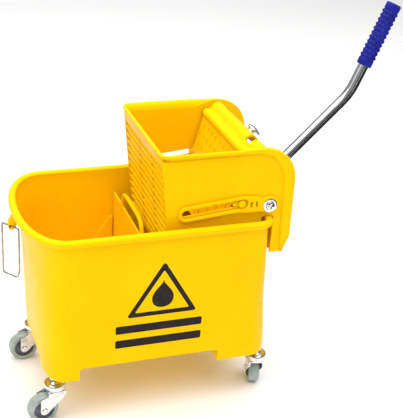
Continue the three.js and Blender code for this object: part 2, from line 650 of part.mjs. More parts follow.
// ---- castors ----
function castor(name, x, y, heading) {
  const swivel = new THREE.Group();
  swivel.position.set(x, y, 0);
  swivel.rotation.z = heading;
  bucketWithWringer.add(swivel);
  // stem pressed into the foot, with the dished cup that carries the ball race
  const stemProfile = [
    [0, 59.8], [17, 59.8], [17.5, 63.5], [14.5, 68.5], [8.5, 71], [8.5, FOOT_Z - GAP],
    [CASTOR_STEM_R, FOOT_Z - GAP], [CASTOR_STEM_R, 102], [0, 102],
  ].map(([r, z]) => new THREE.Vector2(r, z));
  const stem = new THREE.LatheGeometry(stemProfile, 14).rotateX(Math.PI / 2);
  add(`${name}_stem`, stem.translate(x, y, 0), zinc);

  const inner = WHEEL_W / 2 + 1.2;
  const cheekT = 2;
  const cheek = new THREE.Shape();
  cheek.moveTo(14, 59.4);
  cheek.lineTo(-13, 59.4);
  cheek.lineTo(-TRAIL - 6, WHEEL_R + 6);
  cheek.absarc(-TRAIL, WHEEL_R, 7.5, Math.PI * 0.8, Math.PI * 1.8);
  cheek.lineTo(12, 50);
  let fork = block(-14, 15, -inner - cheekT, inner + cheekT, 54.5, 59.4);
  fork = fork.add(slab(cheek, -inner - cheekT, -inner)).add(slab(cheek, inner, inner + cheekT));
  fork = fork.subtract(barY(-TRAIL, WHEEL_R, AXLE_R + GAP, -30, 30, 10));
  add(`${name}_fork`, geometryOf(fork), zinc, swivel);

  const half = WHEEL_W / 2;
  const tread = [
    [17.6, -half], [22.5, -half], [WHEEL_R, -half + 3], [WHEEL_R, half - 3], [22.5, half],
    [17.6, half], [17.6, -half],
  ].map(([r, z]) => new THREE.Vector2(r, z));
  const tyre = new THREE.LatheGeometry(tread, 22);
  add(`${name}_tyre`, tyre, tyreGrey, swivel).position.set(-TRAIL, 0, WHEEL_R);

  const bore = AXLE_R + GAP;
  const hubProfile = [
    [bore, -half - 0.6], [7, -half - 0.6], [7, -half + 2], [15, -half + 2], [15, -half], [17, -half],
    [17, half], [15, half], [15, half - 2], [7, half - 2], [7, half + 0.6], [bore, half + 0.6],
    [bore, -half - 0.6],
  ].map(([r, z]) => new THREE.Vector2(r, z));
  const hub = new THREE.LatheGeometry(hubProfile, 12);
  add(`${name}_hub`, hub, hubGrey, swivel).position.set(-TRAIL, 0, WHEEL_R);

  const end = inner + cheekT;
  const axleProfile = [
    [0, -end - 2], [5, -end - 2], [5, -end - GAP], [AXLE_R, -end - GAP], [AXLE_R, end + GAP], [5, end + GAP],
    [5, end + 2], [0, end + 2],
  ].map(([r, z]) => new THREE.Vector2(r, z));
  const axle = new THREE.LatheGeometry(axleProfile, 10);
  add(`${name}_axle`, axle, zinc, swivel).position.set(-TRAIL, 0, WHEEL_R);
}

// ---- assembly ----
add('bucket_body', geometryOf(bucketBody()), yellow);
add('front_wire_loop', wireLoop(), zinc);
add('divider_plate', geometryOf(dividerPlate()), yellow);
add('front_grate', geometryOf(frontGrate()), yellow);
add('drain_floor', geometryOf(drainFloor()), yellow);
add('rear_apron', geometryOf(rearApron()), yellow);
add('press_plate', geometryOf(pressPlate()), yellow);
add('press_hood', geometryOf(pressHood()), yellow);
add('thrust_pin', geometryOf(barY(THRUST_PIN.x, THRUST_PIN.y, CAM_PIN_R, -48, 48, 18)), steel);
add('return_pin', geometryOf(barY(RETURN_PIN.x, RETURN_PIN.y, CAM_PIN_R, -48, 48, 18)), steel);
add('pivot_shaft', geometryOf(pivotShaft()), steel);
add('handle_yoke', geometryOf(handleYoke()), yellow);
add('handle_tube', geometryOf(handleTube()), chrome);
add('handle_grip', handleGrip(), blue);
add('spare_socket_cap', geometryOf(spareCap()), chrome);
add('handle_bolt', geometryOf(barY(BOLT_AT.x, BOLT_AT.z, BOLT_R, -78.5, -51.5, 12)), zinc);
for (const side of [-1, 1]) {
  const hand = side < 0 ? 'left' : 'right';
  add(`${hand}_side_panel`, geometryOf(sidePanel(side)), yellow);
  add(`${hand}_guide_rail`, geometryOf(guideRail(side)), yellow);
  add(`${hand}_guide_shoe`, geometryOf(guideShoe(side)), yellow);
  add(`${hand}_shaft_washer`, geometryOf(shaftWasher(side)), chrome);
  add(`${hand}_shaft_screw`, geometryOf(shaftScrew(side)), chrome);
  add(`${hand}_torsion_spring`, rod(new Helix(side), 1.4, 30, 6), steel);
}
castor('front_left_castor', -STEM_X, -STEM_Y, THREE.MathUtils.degToRad(8));
castor('front_right_castor', -STEM_X, STEM_Y, THREE.MathUtils.degToRad(4));
castor('rear_left_castor', STEM_X, -STEM_Y, THREE.MathUtils.degToRad(-104));
castor('rear_right_castor', STEM_X, STEM_Y, THREE.MathUtils.degToRad(-40));

// The origin is on the floor under the middle of the whole object.
const bounds = new THREE.Box3().setFromObject(bucketWithWringer, true);
bucketWithWringer.position.x = -(bounds.min.x + bounds.max.x) / 2;

export default bucketWithWringer;
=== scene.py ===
import math

import bmesh
import bpy
from mathutils import Matrix, Vector


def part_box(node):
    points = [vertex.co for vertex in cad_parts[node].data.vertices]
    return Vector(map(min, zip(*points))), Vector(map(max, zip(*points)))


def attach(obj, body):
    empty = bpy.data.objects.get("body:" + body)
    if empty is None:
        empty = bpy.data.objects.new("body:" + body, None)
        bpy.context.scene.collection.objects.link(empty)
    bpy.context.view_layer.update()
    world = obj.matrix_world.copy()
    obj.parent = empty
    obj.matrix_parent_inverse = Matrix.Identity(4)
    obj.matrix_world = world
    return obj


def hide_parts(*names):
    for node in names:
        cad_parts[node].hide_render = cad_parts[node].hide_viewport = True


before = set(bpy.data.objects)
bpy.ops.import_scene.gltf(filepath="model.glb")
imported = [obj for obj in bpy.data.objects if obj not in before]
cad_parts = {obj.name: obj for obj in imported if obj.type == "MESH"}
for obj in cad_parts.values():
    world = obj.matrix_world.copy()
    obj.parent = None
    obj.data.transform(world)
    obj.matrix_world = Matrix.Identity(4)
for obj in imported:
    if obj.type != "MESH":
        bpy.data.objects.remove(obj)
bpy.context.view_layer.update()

# The part's own millimetres are shifted along X to the row frame. The shaft sits at X 165 there.
PIVOT_X = 165.0
PIVOT_Z = 368.0
shaft_low, shaft_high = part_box("pivot_shaft")
SHIFT = (shaft_low.x + shaft_high.x) / 2 * 1000 - PIVOT_X

# ---- dimensions, in the part's own millimetres ----
SKIRT_Z = 106.0
FLOOR_Z = 112.0
RIM_Z = 340.0
RIM_R = 6.5
WALL = 3.5
FRONT_FOOT_END_X = -141.0
REAR_FOOT_START_X = 95.0
FOOT_INNER_Y = 60.0
DIVIDER_X = -28.0
DIVIDER_TOP = 302.0
PANEL_IN_Y = 109.0
PANEL_OUT_Y = 113.0
FLANGE_OUT_Y = 117.0
SLOT_TILT = math.radians(6)
SLOT_FORWARD = Vector((-math.cos(SLOT_TILT), -math.sin(SLOT_TILT)))
SLOT_DOWN = Vector((math.sin(SLOT_TILT), -math.cos(SLOT_TILT)))
SHOE_X, SHOE_Z = 118.0, 373.5
GRATE_TOP = Vector((-17.0, 466.0))
GRATE_FOOT = Vector((3.0, 272.0))
PLATE_TOP = Vector((125.0, 443.0))
PLATE_FOOT = Vector((84.0, 293.0))
PRESS_HALF_W = 103.0
HOOD_NOTCH = 10.0
APRON_TOP = 338.0
LEVER_ANGLE = math.radians(45.3)
LEVER_Y = 65.0
LEVER_OFFSET = 10.2
TUBE_R = 8.5
CAM_RATIO = 50.0
CAM_START = 62.0
CAM_THICK = 10.0
LEVER_RANGE = math.radians(50)
WHEEL_R = 25.0
WHEEL_W = 19.0
TRAIL = 21.0
FORK_TOP = 59.4
FORK_SHEET = 2.0
STEM_X, STEM_Y = 177.0, 93.0
CASTORS = {
    "front_left_castor": (-STEM_X, -STEM_Y, 8),
    "front_right_castor": (-STEM_X, STEM_Y, 4),
    "rear_left_castor": (STEM_X, -STEM_Y, -104),
    "rear_right_castor": (STEM_X, STEM_Y, -40),
}


# ---- materials ----
class Nodes:
    """A material's node tree, with short calls for the nodes used here."""

    def __init__(self, name, metallic, roughness):
        self.material = bpy.data.materials.new(name)
        self.material.use_nodes = True
        self.tree = self.material.node_tree
        self.shader = self.tree.nodes["Principled BSDF"]
        self.shader.inputs["Metallic"].default_value = metallic
        self.shader.inputs["Roughness"].default_value = roughness
        self.coordinates = self.tree.nodes.new("ShaderNodeTexCoord").outputs["Object"]

    def link(self, output, socket):
        self.tree.links.new(output, socket)

    def noise(self, scale, detail=3.0, stretch=(1, 1, 1), turn=(0, 0, 0), rough=0.5):
        mapping = self.tree.nodes.new("ShaderNodeMapping")
        mapping.inputs["Scale"].default_value = stretch
        mapping.inputs["Rotation"].default_value = turn
        self.link(self.coordinates, mapping.inputs["Vector"])
        noise = self.tree.nodes.new("ShaderNodeTexNoise")
        noise.inputs["Scale"].default_value = scale
        noise.inputs["Detail"].default_value = detail
        noise.inputs["Roughness"].default_value = rough
        self.link(mapping.outputs["Vector"], noise.inputs["Vector"])
        return noise.outputs["Fac"]

    def ramp(self, value, stops):
        """stops are (position, colour) pairs."""
        ramp = self.tree.nodes.new("ShaderNodeValToRGB")
        elements = ramp.color_ramp.elements
        while len(elements) < len(stops):
            elements.new(0.5)
        for element, (position, colour) in zip(elements, stops):
            element.position = position
            element.color = (*colour, 1)
        self.link(value, ramp.inputs["Fac"])
        return ramp.outputs["Color"]

    def spread(self, value, low, high, start=0.3, end=0.7):
        """Maps value from start..end to low..high."""
        node = self.tree.nodes.new("ShaderNodeMapRange")
        node.inputs["From Min"].default_value = start
        node.inputs["From Max"].default_value = end
        node.inputs["To Min"].default_value = low
        node.inputs["To Max"].default_value = high
        self.link(value, node.inputs["Value"])
        return node.outputs["Result"]

    def math(self, operation, a, b):
        node = self.tree.nodes.new("ShaderNodeMath")
        node.operation = operation
        for socket, value in zip(node.inputs, (a, b)):
            if isinstance(value, (int, float)):
                socket.default_value = value
            else:
                self.link(value, socket)
        return node.outputs["Value"]

    def mix(self, factor, a, b):
        node = self.tree.nodes.new("ShaderNodeMix")
        node.data_type = "RGBA"
        self.link(factor, node.inputs["Factor"])
        for socket, value in ((node.inputs["A"], a), (node.inputs["B"], b)):
            if isinstance(value, tuple):
                socket.default_value = (*value, 1)
            else:
                self.link(value, socket)
        return node.outputs["Result"]

    def bump(self, height, distance, strength=1.0, normal=None):
        node = self.tree.nodes.new("ShaderNodeBump")
        node.inputs["Strength"].default_value = strength
        node.inputs["Distance"].default_value = distance
        self.link(height, node.inputs["Height"])
        if normal is not None:
            self.link(normal, node.inputs["Normal"])
        return node.outputs["Normal"]

    def edges(self, radius):
        """(rounded normal, 0..1 mask that is high along edges)."""
        bevel = self.tree.nodes.new("ShaderNodeBevel")
        bevel.samples = 4
        bevel.inputs["Radius"].default_value = radius
        geometry = self.tree.nodes.new("ShaderNodeNewGeometry")
        dot = self.tree.nodes.new("ShaderNodeVectorMath")
        dot.operation = "DOT_PRODUCT"
        self.link(bevel.outputs["Normal"], dot.inputs[0])
        self.link(geometry.outputs["Normal"], dot.inputs[1])
        return bevel.outputs["Normal"], self.spread(dot.outputs["Value"], 1, 0, 0.80, 0.995)

    def finish(self, colour=None, roughness=None, normal=None):
        for value, name in ((colour, "Base Color"), (roughness, "Roughness"), (normal, "Normal")):
            if value is not None:
                self.link(value, self.shader.inputs[name])
        return self.material


def plastic_material(name, deep, plain, pale, low, high):
    """Moulded polypropylene: clouded colour, an orange-peel skin, fine scuffs and paler edges, partly rub
    wear and partly a painted highlight along the edges.
    """
    n = Nodes(name, 0.0, 0.36)
    n.shader.inputs["Specular IOR Level"].default_value = 0.08
    n.shader.inputs["Specular Tint"].default_value = (1, 0.72, 0.10, 1)
    rounded, edge_mask = n.edges(0.0011)
    cloud = n.ramp(n.noise(7, 4, rough=0.6), ((0.30, deep), (0.52, plain), (0.75, pale)))
    scuff = n.noise(160, 4, stretch=(1, 1, 0.06), turn=(0.5, 0.9, 0.2), rough=0.7)
    scuffed = n.spread(scuff, 0, 1, 0.60, 0.72)
    # paler colour along the edges: partly rub wear, partly a painted highlight where the edges catch the
    # light
    rub_wear_and_highlight = n.math("MULTIPLY", edge_mask, n.spread(n.noise(90, 4), 0.15, 0.75))
    colour = n.mix(rub_wear_and_highlight, cloud, tuple(min(1, c * 1.05 + 0.03) for c in pale))
    base_rough = n.spread(n.noise(38, 4), low, high)
    roughness = n.math("ADD", base_rough, n.math("MULTIPLY", scuffed, 0.10))
    grain = 0.00006  # in metres
    peel = n.bump(n.noise(1500, 2), grain, 0.5, rounded)
    skin = n.bump(n.noise(260, 3), grain * 2.0, 0.35, peel)
    return n.finish(colour, roughness, skin)


def metal_material(name, dark, light, low, high, scratch=0.00001):
    """Plated or drawn metal: faint stains, fine scratches and a slow waviness."""
    n = Nodes(name, 1.0, 0.2)
    stain = n.ramp(n.noise(55, 5, rough=0.65), ((0.32, dark), (0.60, light)))
    line = n.noise(900, 3, stretch=(1, 0.05, 1), turn=(0.3, 0.2, 0.8))
    rough = n.math("ADD", n.spread(n.noise(120, 4), low, high), n.spread(line, 0, 0.04, 0.5, 0.8))
    bumped = n.bump(line, scratch, 0.4)
    return n.finish(stain, rough, n.bump(n.noise(70, 2), scratch * 6, 0.5, bumped))


def rubber_material(name, dark, plain, dusty, low, high, gloss=0.4):
    """Rubber or soft vinyl with a fine grain and dust in patches."""
    n = Nodes(name, 0.0, 0.6)
    n.shader.inputs["Specular IOR Level"].default_value = gloss
    rounded, edge_mask = n.edges(0.0006)
    shade = n.ramp(n.noise(60, 5, rough=0.6), ((0.28, dark), (0.50, plain), (0.80, dusty)))
    colour = n.mix(n.math("MULTIPLY", edge_mask, 0.35), shade, dusty)
    roughness = n.spread(n.noise(180, 4), low, high)
    grain = n.bump(n.noise(2200, 2), 0.00005, 0.5, rounded)
    return n.finish(colour, roughness, grain)


YELLOW = plastic_material("yellow_polypropylene", (0.94, 0.550, 0.001), (0.96, 0.590, 0.001),
                          (0.98, 0.630, 0.003), 0.27, 0.40)
CHROME = metal_material("bright_chrome", (0.66, 0.67, 0.69), (0.86, 0.87, 0.88), 0.03, 0.08)
ZINC = metal_material("bright_zinc", (0.56, 0.57, 0.59), (0.88, 0.89, 0.90), 0.10, 0.20, 0.00003)
WIRE = metal_material("dull_wire", (0.20, 0.14, 0.09), (0.46, 0.42, 0.38), 0.16, 0.30, 0.00003)
STEEL = metal_material("drawn_steel", (0.30, 0.30, 0.31), (0.52, 0.52, 0.53), 0.22, 0.40, 0.00004)
BLUE = rubber_material("blue_vinyl", (0.006, 0.007, 0.16), (0.009, 0.011, 0.24),
                       (0.02, 0.025, 0.34), 0.34, 0.50, 0.18)
TYRE = rubber_material("grey_tyre", (0.24, 0.29, 0.26), (0.36, 0.43, 0.39), (0.50, 0.56, 0.53), 0.45, 0.65)
HUB = rubber_material("slate_hub", (0.050, 0.060, 0.085), (0.085, 0.100, 0.140),
                      (0.16, 0.18, 0.23), 0.38, 0.55)
INK = rubber_material("black_ink", (0.010, 0.007, 0.008), (0.016, 0.011, 0.012),
                      (0.03, 0.022, 0.022), 0.34, 0.50, 0.12)


def place(name, data):
    made = bpy.data.objects.new(name, data)
    bpy.context.scene.collection.objects.link(made)
    return made


# ---- mesh building, all in the part's own millimetres ----
QUARTER_TURN = Matrix.Rotation(math.pi / 2, 4, "Z")  # lays a plate's X and thickness along Y and X
CUTTER_EDGE = 0.05  # shapes used for cutting have nearly sharp edges


def circle(r, h, sides):
    turns = [2 * math.pi * i / sides for i in range(sides)]
    return [(r * math.cos(turn), r * math.sin(turn), h) for turn in turns]


def bezier(p0, p1, p2, p3, steps):
    """Points after p0 up to p3."""
    points = []
    for i in range(1, steps + 1):
        t = i / steps
        u = 1 - t
        points.append(tuple(
            u ** 3 * a + 3 * u * u * t * b + 3 * u * t * t * c + t ** 3 * d
            for a, b, c, d in zip(p0, p1, p2, p3)))
    return points


def arc(cx, cz, r, start, end, steps):
    return [(cx + r * math.cos(start + (end - start) * i / steps),
             cz + r * math.sin(start + (end - start) * i / steps)) for i in range(steps + 1)]


def catmull(points, steps):
    """A smooth curve through the points, ends included."""
    pts = [Vector(p) for p in points]
    pts = [pts[0] * 2 - pts[1]] + pts + [pts[-1] * 2 - pts[-2]]
    curve = []
    for a, b, c, d in zip(pts, pts[1:], pts[2:], pts[3:]):
        for i in range(steps):
            t = i / steps
            curve.append(0.5 * (2 * b + (c - a) * t + (2 * a - 5 * b + 4 * c - d) * t * t
                                + (3 * b - a - 3 * c + d) * t ** 3))
    curve.append(pts[-2])
    return curve


def turned(before, corner, after, radius, steps):
    """Points round a corner between two others, turning at about this radius."""
    a = corner + (before - corner).normalized() * radius
    b = corner + (after - corner).normalized() * radius
    return [(1 - t) ** 2 * a + 2 * t * (1 - t) * corner + t * t * b
            for t in (i / steps for i in range(steps + 1))]


def rounded_path(points, radius, steps):
    """An open path with its corners turned."""
    pts = [Vector(p) for p in points]
    path = [pts[0]]
    for around in zip(pts, pts[1:], pts[2:]):
        path += turned(*around, radius, steps)
    return path + [pts[-1]]


def soft_corners(points, radius):
    """A closed outline with rounded corners."""
    pts = [Vector(p) for p in points]
    return [tuple(p) for around in zip(pts[-1:] + pts[:-1], pts, pts[1:] + pts[:1])
            for p in turned(*around, radius, 6)]


class Build:
    """Collects closed shells that together make one piece."""

    def __init__(self):
        self.verts = []
        self.faces = []

    def add(self, verts, faces, matrix=None):
        first = len(self.verts)
        for v in verts:
            v = Vector(v)
            self.verts.append(matrix @ v if matrix else v)
        self.faces.extend([tuple(i + first for i in face) for face in faces])
        return self

    def merge(self, other, matrix=None):
        return self.add(other.verts, other.faces, matrix)

    def loft(self, rings, closed=False):
        """A skin over rings of equally many points, capped at both ends unless it closes on itself."""
        count = len(rings[0])
        verts = [v for ring in rings for v in ring]
        faces = []
        for r in range(len(rings) - (0 if closed else 1)):
            upper = (r + 1) % len(rings)
            for i in range(count):
                j = (i + 1) % count
                faces.append((r * count + i, r * count + j, upper * count + j, upper * count + i))
        if not closed:
            last = (len(rings) - 1) * count
            for start, order in ((0, -1), (last, 1)):
                ring = [Vector(v) for v in verts[start:start + count]]
                verts.append(sum(ring, Vector()) / count)
                centre = len(verts) - 1
                for i in range(count):
                    pair = (start + i, start + (i + 1) % count)
                    faces.append((centre, *pair[::order]))
        return self.add(verts, faces)

    def lathe(self, profile, matrix, sides=48):
        """profile is (radius, height) from the axis to the axis, or a closed loop off the axis."""
        on_axis = profile[0][0] < 1e-6
        rings = [circle(max(r, 1e-3), h, sides) for r, h in profile]
        part = Build().loft(rings if on_axis else rings[:-1], closed=not on_axis)
        return self.merge(part, matrix)

    def sweep(self, path, radius, sides=16, soft_end=0.0):
        """A round rod along the path. soft_end rounds the rims of its ends."""
        pts = [Vector(p) for p in path]
        tangents = [(b - a).normalized() for a, b in zip([pts[0]] + pts[:-1], pts[1:] + [pts[-1]])]
        side = tangents[0].orthogonal().normalized()
        rings = []
        for point, tangent in zip(pts, tangents):
            side = (side - tangent * side.dot(tangent)).normalized()
            rings.append((point, side.copy(), tangent.cross(side), radius))
        if soft_end:
            for at, way in ((0, -1), (len(rings) - 1, 1)):
                point, side, other, r = rings[at]
                rings[at] = (point - tangents[at] * way * soft_end, side, other, r)
                end = (point, side, other, r - soft_end)
                rings.insert(0, end) if at == 0 else rings.append(end)
        loops = [[p + (s * math.cos(2 * math.pi * i / sides) + o * math.sin(2 * math.pi * i / sides)) * r
                  for i in range(sides)] for p, s, o, r in rings]
        return self.loft(loops)

    def box(self, x0, x1, y0, y1, z0, z1, bevel=0.6, matrix=None):
        bm = bmesh.new()
        bmesh.ops.create_cube(bm, size=1)
        for v in bm.verts:
            v.co = Vector(((x0 + x1) / 2 + v.co.x * (x1 - x0), (y0 + y1) / 2 + v.co.y * (y1 - y0),
                           (z0 + z1) / 2 + v.co.z * (z1 - z0)))
        bmesh.ops.bevel(bm, geom=bm.edges[:], offset=bevel, segments=2, profile=0.5, affect="EDGES")
        verts = [v.co.copy() for v in bm.verts]
        faces = [tuple(v.index for v in f.verts) for f in bm.faces]
        bm.free()
        return self.add(verts, faces, matrix)

    def plate(self, outlines, y0, y1, bevel=0.6, matrix=None):
        """Outlines in X and Z, the first outside and the rest holes, made y0..y1 thick with rounded edges."""
        curve = bpy.data.curves.new("outline", "CURVE")
        curve.dimensions = "2D"
        curve.fill_mode = "BOTH"
        curve.extrude = abs(y1 - y0) / 2 - bevel
        curve.bevel_depth = bevel
        curve.bevel_resolution = 2
        curve.offset = -bevel
        for outline in outlines:
            spline = curve.splines.new("POLY")
            spline.points.add(len(outline) - 1)
            for point, (x, z) in zip(spline.points, outline):
                point.co = (x, z, 0, 1)
            spline.use_cyclic_u = True
        made = place("outline", curve)
        depsgraph = bpy.context.evaluated_depsgraph_get()
        mesh = bpy.data.meshes.new_from_object(made.evaluated_get(depsgraph))
        bm = bmesh.new()
        bm.from_mesh(mesh)
        bmesh.ops.remove_doubles(bm, verts=bm.verts, dist=0.003)
        middle = (y0 + y1) / 2
        verts = [(v.co.x, middle - v.co.z, v.co.y) for v in bm.verts]
        faces = [tuple(v.index for v in f.verts) for f in bm.faces]
        bm.free()
        bpy.data.objects.remove(made)
        bpy.data.curves.remove(curve)
        bpy.data.meshes.remove(mesh)
        return self.add(verts, faces, matrix)

    def mesh(self, name):
        mesh = bpy.data.meshes.new(name)
        mesh.from_pydata([((v.x + SHIFT) / 1000, v.y / 1000, v.z / 1000) for v in self.verts], [], self.faces)
        bm = bmesh.new()
        bm.from_mesh(mesh)
        bmesh.ops.remove_doubles(bm, verts=bm.verts, dist=1e-7)
        bmesh.ops.dissolve_degenerate(bm, edges=bm.edges, dist=1e-7)
        bmesh.ops.recalc_face_normals(bm, faces=bm.faces)
        bm.to_mesh(mesh)
        bm.free()
        return mesh

    def cut(self, *cutters, operation="DIFFERENCE"):
        """This shell cut by each cutter."""
        target = place("target", self.mesh("target"))
        tools = []
        for cutter in cutters:
            tool = place("tool", cutter.mesh("tool"))
            tools.append(tool)
            modifier = target.modifiers.new("cut", "BOOLEAN")
            modifier.operation = operation
            modifier.solver = "EXACT"
            modifier.object = tool
        depsgraph = bpy.context.evaluated_depsgraph_get()
        mesh = bpy.data.meshes.new_from_object(target.evaluated_get(depsgraph))
        self.verts = [Vector((v.co.x * 1000 - SHIFT, v.co.y * 1000, v.co.z * 1000)) for v in mesh.vertices]
        self.faces = [tuple(p.vertices) for p in mesh.polygons]
        for spare in (target, *tools):
            data = spare.data
            bpy.data.objects.remove(spare)
            bpy.data.meshes.remove(data)
        bpy.data.meshes.remove(mesh)
        return self

    def piece(self, name, material, body, slot, replaces=(), sharp=38):
        mesh = self.mesh(name)
        mesh.materials.append(material)
        mesh.shade_smooth()
        mesh.set_sharp_from_angle(angle=math.radians(sharp))
        made = place(name, mesh)
        made.modifiers.new("weight", "WEIGHTED_NORMAL").keep_sharp = True
        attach(made, body)
        if replaces:
            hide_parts(*replaces)


def sides_of(inner, outer, side):
    """y range on one side, from distances to the middle."""
    return (-outer, -inner) if side < 0 else (inner, outer)


ALONG_Y = Matrix.Rotation(-math.pi / 2, 4, "X")  # turns a lathe's Z axis to +Y


def lathe_y(x, z, flip=False):
    turn = Matrix.Rotation(math.pi, 4, "Z") @ ALONG_Y if flip else ALONG_Y
    return Matrix.Translation((x, 0, z)) @ turn


# ---- bucket ----
HEIGHTS = [83, 106, 132, 196, 263, 306, 334]
FRONT_X = [-195, -197, -199, -202, -206, -211, -219]
REAR_X = [188, 188, 186, 179, 172, 167.5, 165]
HALF_Y = [118.5, 119, 119.5, 121.5, 124.5, 127, 129]
REAR_RADIUS = [30, 31, 31, 27, 17, 13, 12]
NOSE_LENGTH = [44, 46, 48, 52, 57, 62, 64]
NOSE_POWER = [3.6, 3.4, 3.1, 2.8, 2.5, 2.3, 2.2]


def at_height(values, z):
    """A smooth value between the levels."""
    z = min(max(z, HEIGHTS[0]), HEIGHTS[-1])
    k = max(i for i in range(len(HEIGHTS) - 1) if HEIGHTS[i] <= z)
    slopes = []
    for i in range(len(HEIGHTS)):
        a, b = max(i - 1, 0), min(i + 1, len(HEIGHTS) - 1)
        slopes.append((values[b] - values[a]) / (HEIGHTS[b] - HEIGHTS[a]))
    h = HEIGHTS[k + 1] - HEIGHTS[k]
    t = (z - HEIGHTS[k]) / h
    return ((2 * t ** 3 - 3 * t * t + 1) * values[k] + (t ** 3 - 2 * t * t + t) * h * slopes[k]
            + (3 * t * t - 2 * t ** 3) * values[k + 1] + (t ** 3 - t * t) * h * slopes[k + 1])


def body_ring(level_z, grow, z):
    front = at_height(FRONT_X, level_z) - grow
    rear = at_height(REAR_X, level_z) + grow
    half = at_height(HALF_Y, level_z) + grow
    radius = max(at_height(REAR_RADIUS, level_z) + grow, 4)
    nose = at_height(NOSE_LENGTH, level_z) + grow
    blunt = 2 / at_height(NOSE_POWER, level_z)
    flat = 0.30  # how far the rear corners are flattened, which leaves a faint crease
    ring = []
    for side in (-1, 1):
        start = -math.pi / 2 if side < 0 else 0
        first, last = ((rear - radius, -half), (rear, -half + radius))
        if side > 0:
            first, last = ((rear, half - radius), (rear - radius, half))
        for i in range(11):
            t = i / 10
            a = start + t * math.pi / 2
            x = rear - radius + radius * math.cos(a)
            y = side * (half - radius) + radius * math.sin(a)
            cx = first[0] + (last[0] - first[0]) * t
            cy = first[1] + (last[1] - first[1]) * t
            ring.append((x + (cx - x) * flat, y + (cy - y) * flat, z))
        if side < 0:
            reach = half - radius
            ring.extend([(rear, -reach + 2 * reach * k / 6, z) for k in range(1, 6)])
    tail = rear - radius
    ring.extend([(tail + (front + nose - tail) * k / 10, half, z) for k in range(1, 10)])
    for i in range(49):
        a = math.pi / 2 + i / 48 * math.pi
        cos = abs(math.cos(a)) ** blunt
        sin = math.copysign(abs(math.sin(a)) ** blunt, math.sin(a))
        ring.append((front + nose - nose * cos, half * sin, z))
    ring.extend([(front + nose + (tail - front - nose) * k / 10, -half, z) for k in range(1, 10)])
    return ring


def make_bucket():
    rings = [body_ring(83, grow, z) for grow, z in ((-3.0, 83.0), (-1.2, 83.3), (-0.3, 84.2), (0, 86))]
    levels = (95, 106, 118, 132, 152, 174, 196, 218, 240, 263, 285, 306, 320, 330, 334)
    rings += [body_ring(z, 0, z) for z in levels]
    for i in range(25):
        a = -1.95 + i / 24 * 4.75
        rings.append(body_ring(334, 1.7 + RIM_R * math.cos(a), RIM_Z + RIM_R * math.sin(a)))
    rings += [body_ring(z, -WALL, z) for z in (334, 320, 300, 263, 230, 196, 165, 140, 124)]
    rings += [body_ring(118, -WALL - inset, z)
              for inset, z in ((0.4, 120), (1.8, 115.5), (5, 112.6), (9, FLOOR_Z))]
    shell = Build().loft(rings)
    far = 300
    skirt = [(FRONT_FOOT_END_X + 0.5, 40),
             *arc(FRONT_FOOT_END_X + 7, SKIRT_Z - 7, 7, math.pi, math.pi / 2, 6),
             (REAR_FOOT_START_X - 3, SKIRT_Z), (REAR_FOOT_START_X, SKIRT_Z - 3), (REAR_FOOT_START_X, 40)]
    across = Build().plate([skirt], -far, far, CUTTER_EDGE)
    tunnel = [(-FOOT_INNER_Y, 40), *arc(-FOOT_INNER_Y + 6, SKIRT_Z - 6, 6, math.pi, math.pi / 2, 5),
              *arc(FOOT_INNER_Y - 6, SKIRT_Z - 6, 6, math.pi / 2, 0, 5), (FOOT_INNER_Y, 40)]
    shell.cut(across, Build().plate([tunnel], -far, far, CUTTER_EDGE, QUARTER_TURN))
    # guide ribs for the divider
    for side in (-1, 1):
        for offset in (-4.8, 4.8):
            x = DIVIDER_X + offset
            path = []
            for z in (FLOOR_Z - 2, 140, 170, 200, 230, 250, 255.2, 256):
                reach = at_height(HALF_Y, z) - 1.2
                tip = 113 + (4.0 if z > 255.5 else 0.6 if z > 254 else 0)
                y0, y1 = sides_of(tip, reach, side)
                path.append([(x - 1.6, y0, z), (x + 1.6, y0, z), (x + 1.6, y1, z), (x - 1.6, y1, z)])
            shell.loft(path)
    # hook under the front rim for the wire loop
    hook = [(-217, 334), (-216, 320), (-222.5, 310), *arc(-228, 311, 3.2, -1.1, -2.2, 5),
            (-232, 316), (-232.5, 323), (-227.5, 334)]
    eye = arc(-228.5, 315, 2.6, 0, 2 * math.pi, 16)[:-1]
    shell.plate([hook, eye], -3.5, 3.5, 0.7)
    # sloping gussets inside both walls, in front of the ribs
    for side in (-1, 1):
        path = []
        for z, length in ((198, 0.5), (212, 28), (215, 28.5), (236, 15), (256, 0.8)):
            reach = at_height(HALF_Y, z) - 1.2
            y0, y1 = sides_of(reach - 6, reach, side)
            x0, x1 = DIVIDER_X - 5 - length, DIVIDER_X - 5
            path.append([(x0, y0, z), (x1, y0, z), (x1, y1, z), (x0, y1, z)])
        shell.loft(path)
    shell.piece("bucket_shell", YELLOW, "bucket", "yellow_plastic", ["bucket_body"], sharp=32)


make_bucket()


# ---- divider ----
def make_divider():
    build = Build()
    half = 120
    low, shoulder = FLOOR_Z + 1, 142
    outline = [(-half + 13, low), (half - 13, low), (half - 6, shoulder), (half, DIVIDER_TOP - 4),
               (half - 3, DIVIDER_TOP), (-half + 3, DIVIDER_TOP), (-half, DIVIDER_TOP - 4),
               (-half + 6, shoulder)]
    build.plate([outline], -1.5, 1.5, 0.6, Matrix.Translation((DIVIDER_X, 0, 0)) @ QUARTER_TURN)
    lip = [(DIVIDER_X, y, DIVIDER_TOP - 1.2) for y in (-half + 3, -60, 0, 60, half - 3)]
    build.sweep(lip, 2.3, 12, 1.0)
    arch = [(60, 295), (60, 309), (54, 322), (40, 328.5), (0, 329.5)]
    arch = arch + [(-y, z) for y, z in arch[-2::-1]]
    build.sweep(catmull([(DIVIDER_X, y, z) for y, z in arch], 6), 3.6, 16, 0.8)
    build.piece("divider", YELLOW, "divider", "yellow_plastic", ["divider_plate"])


make_divider()


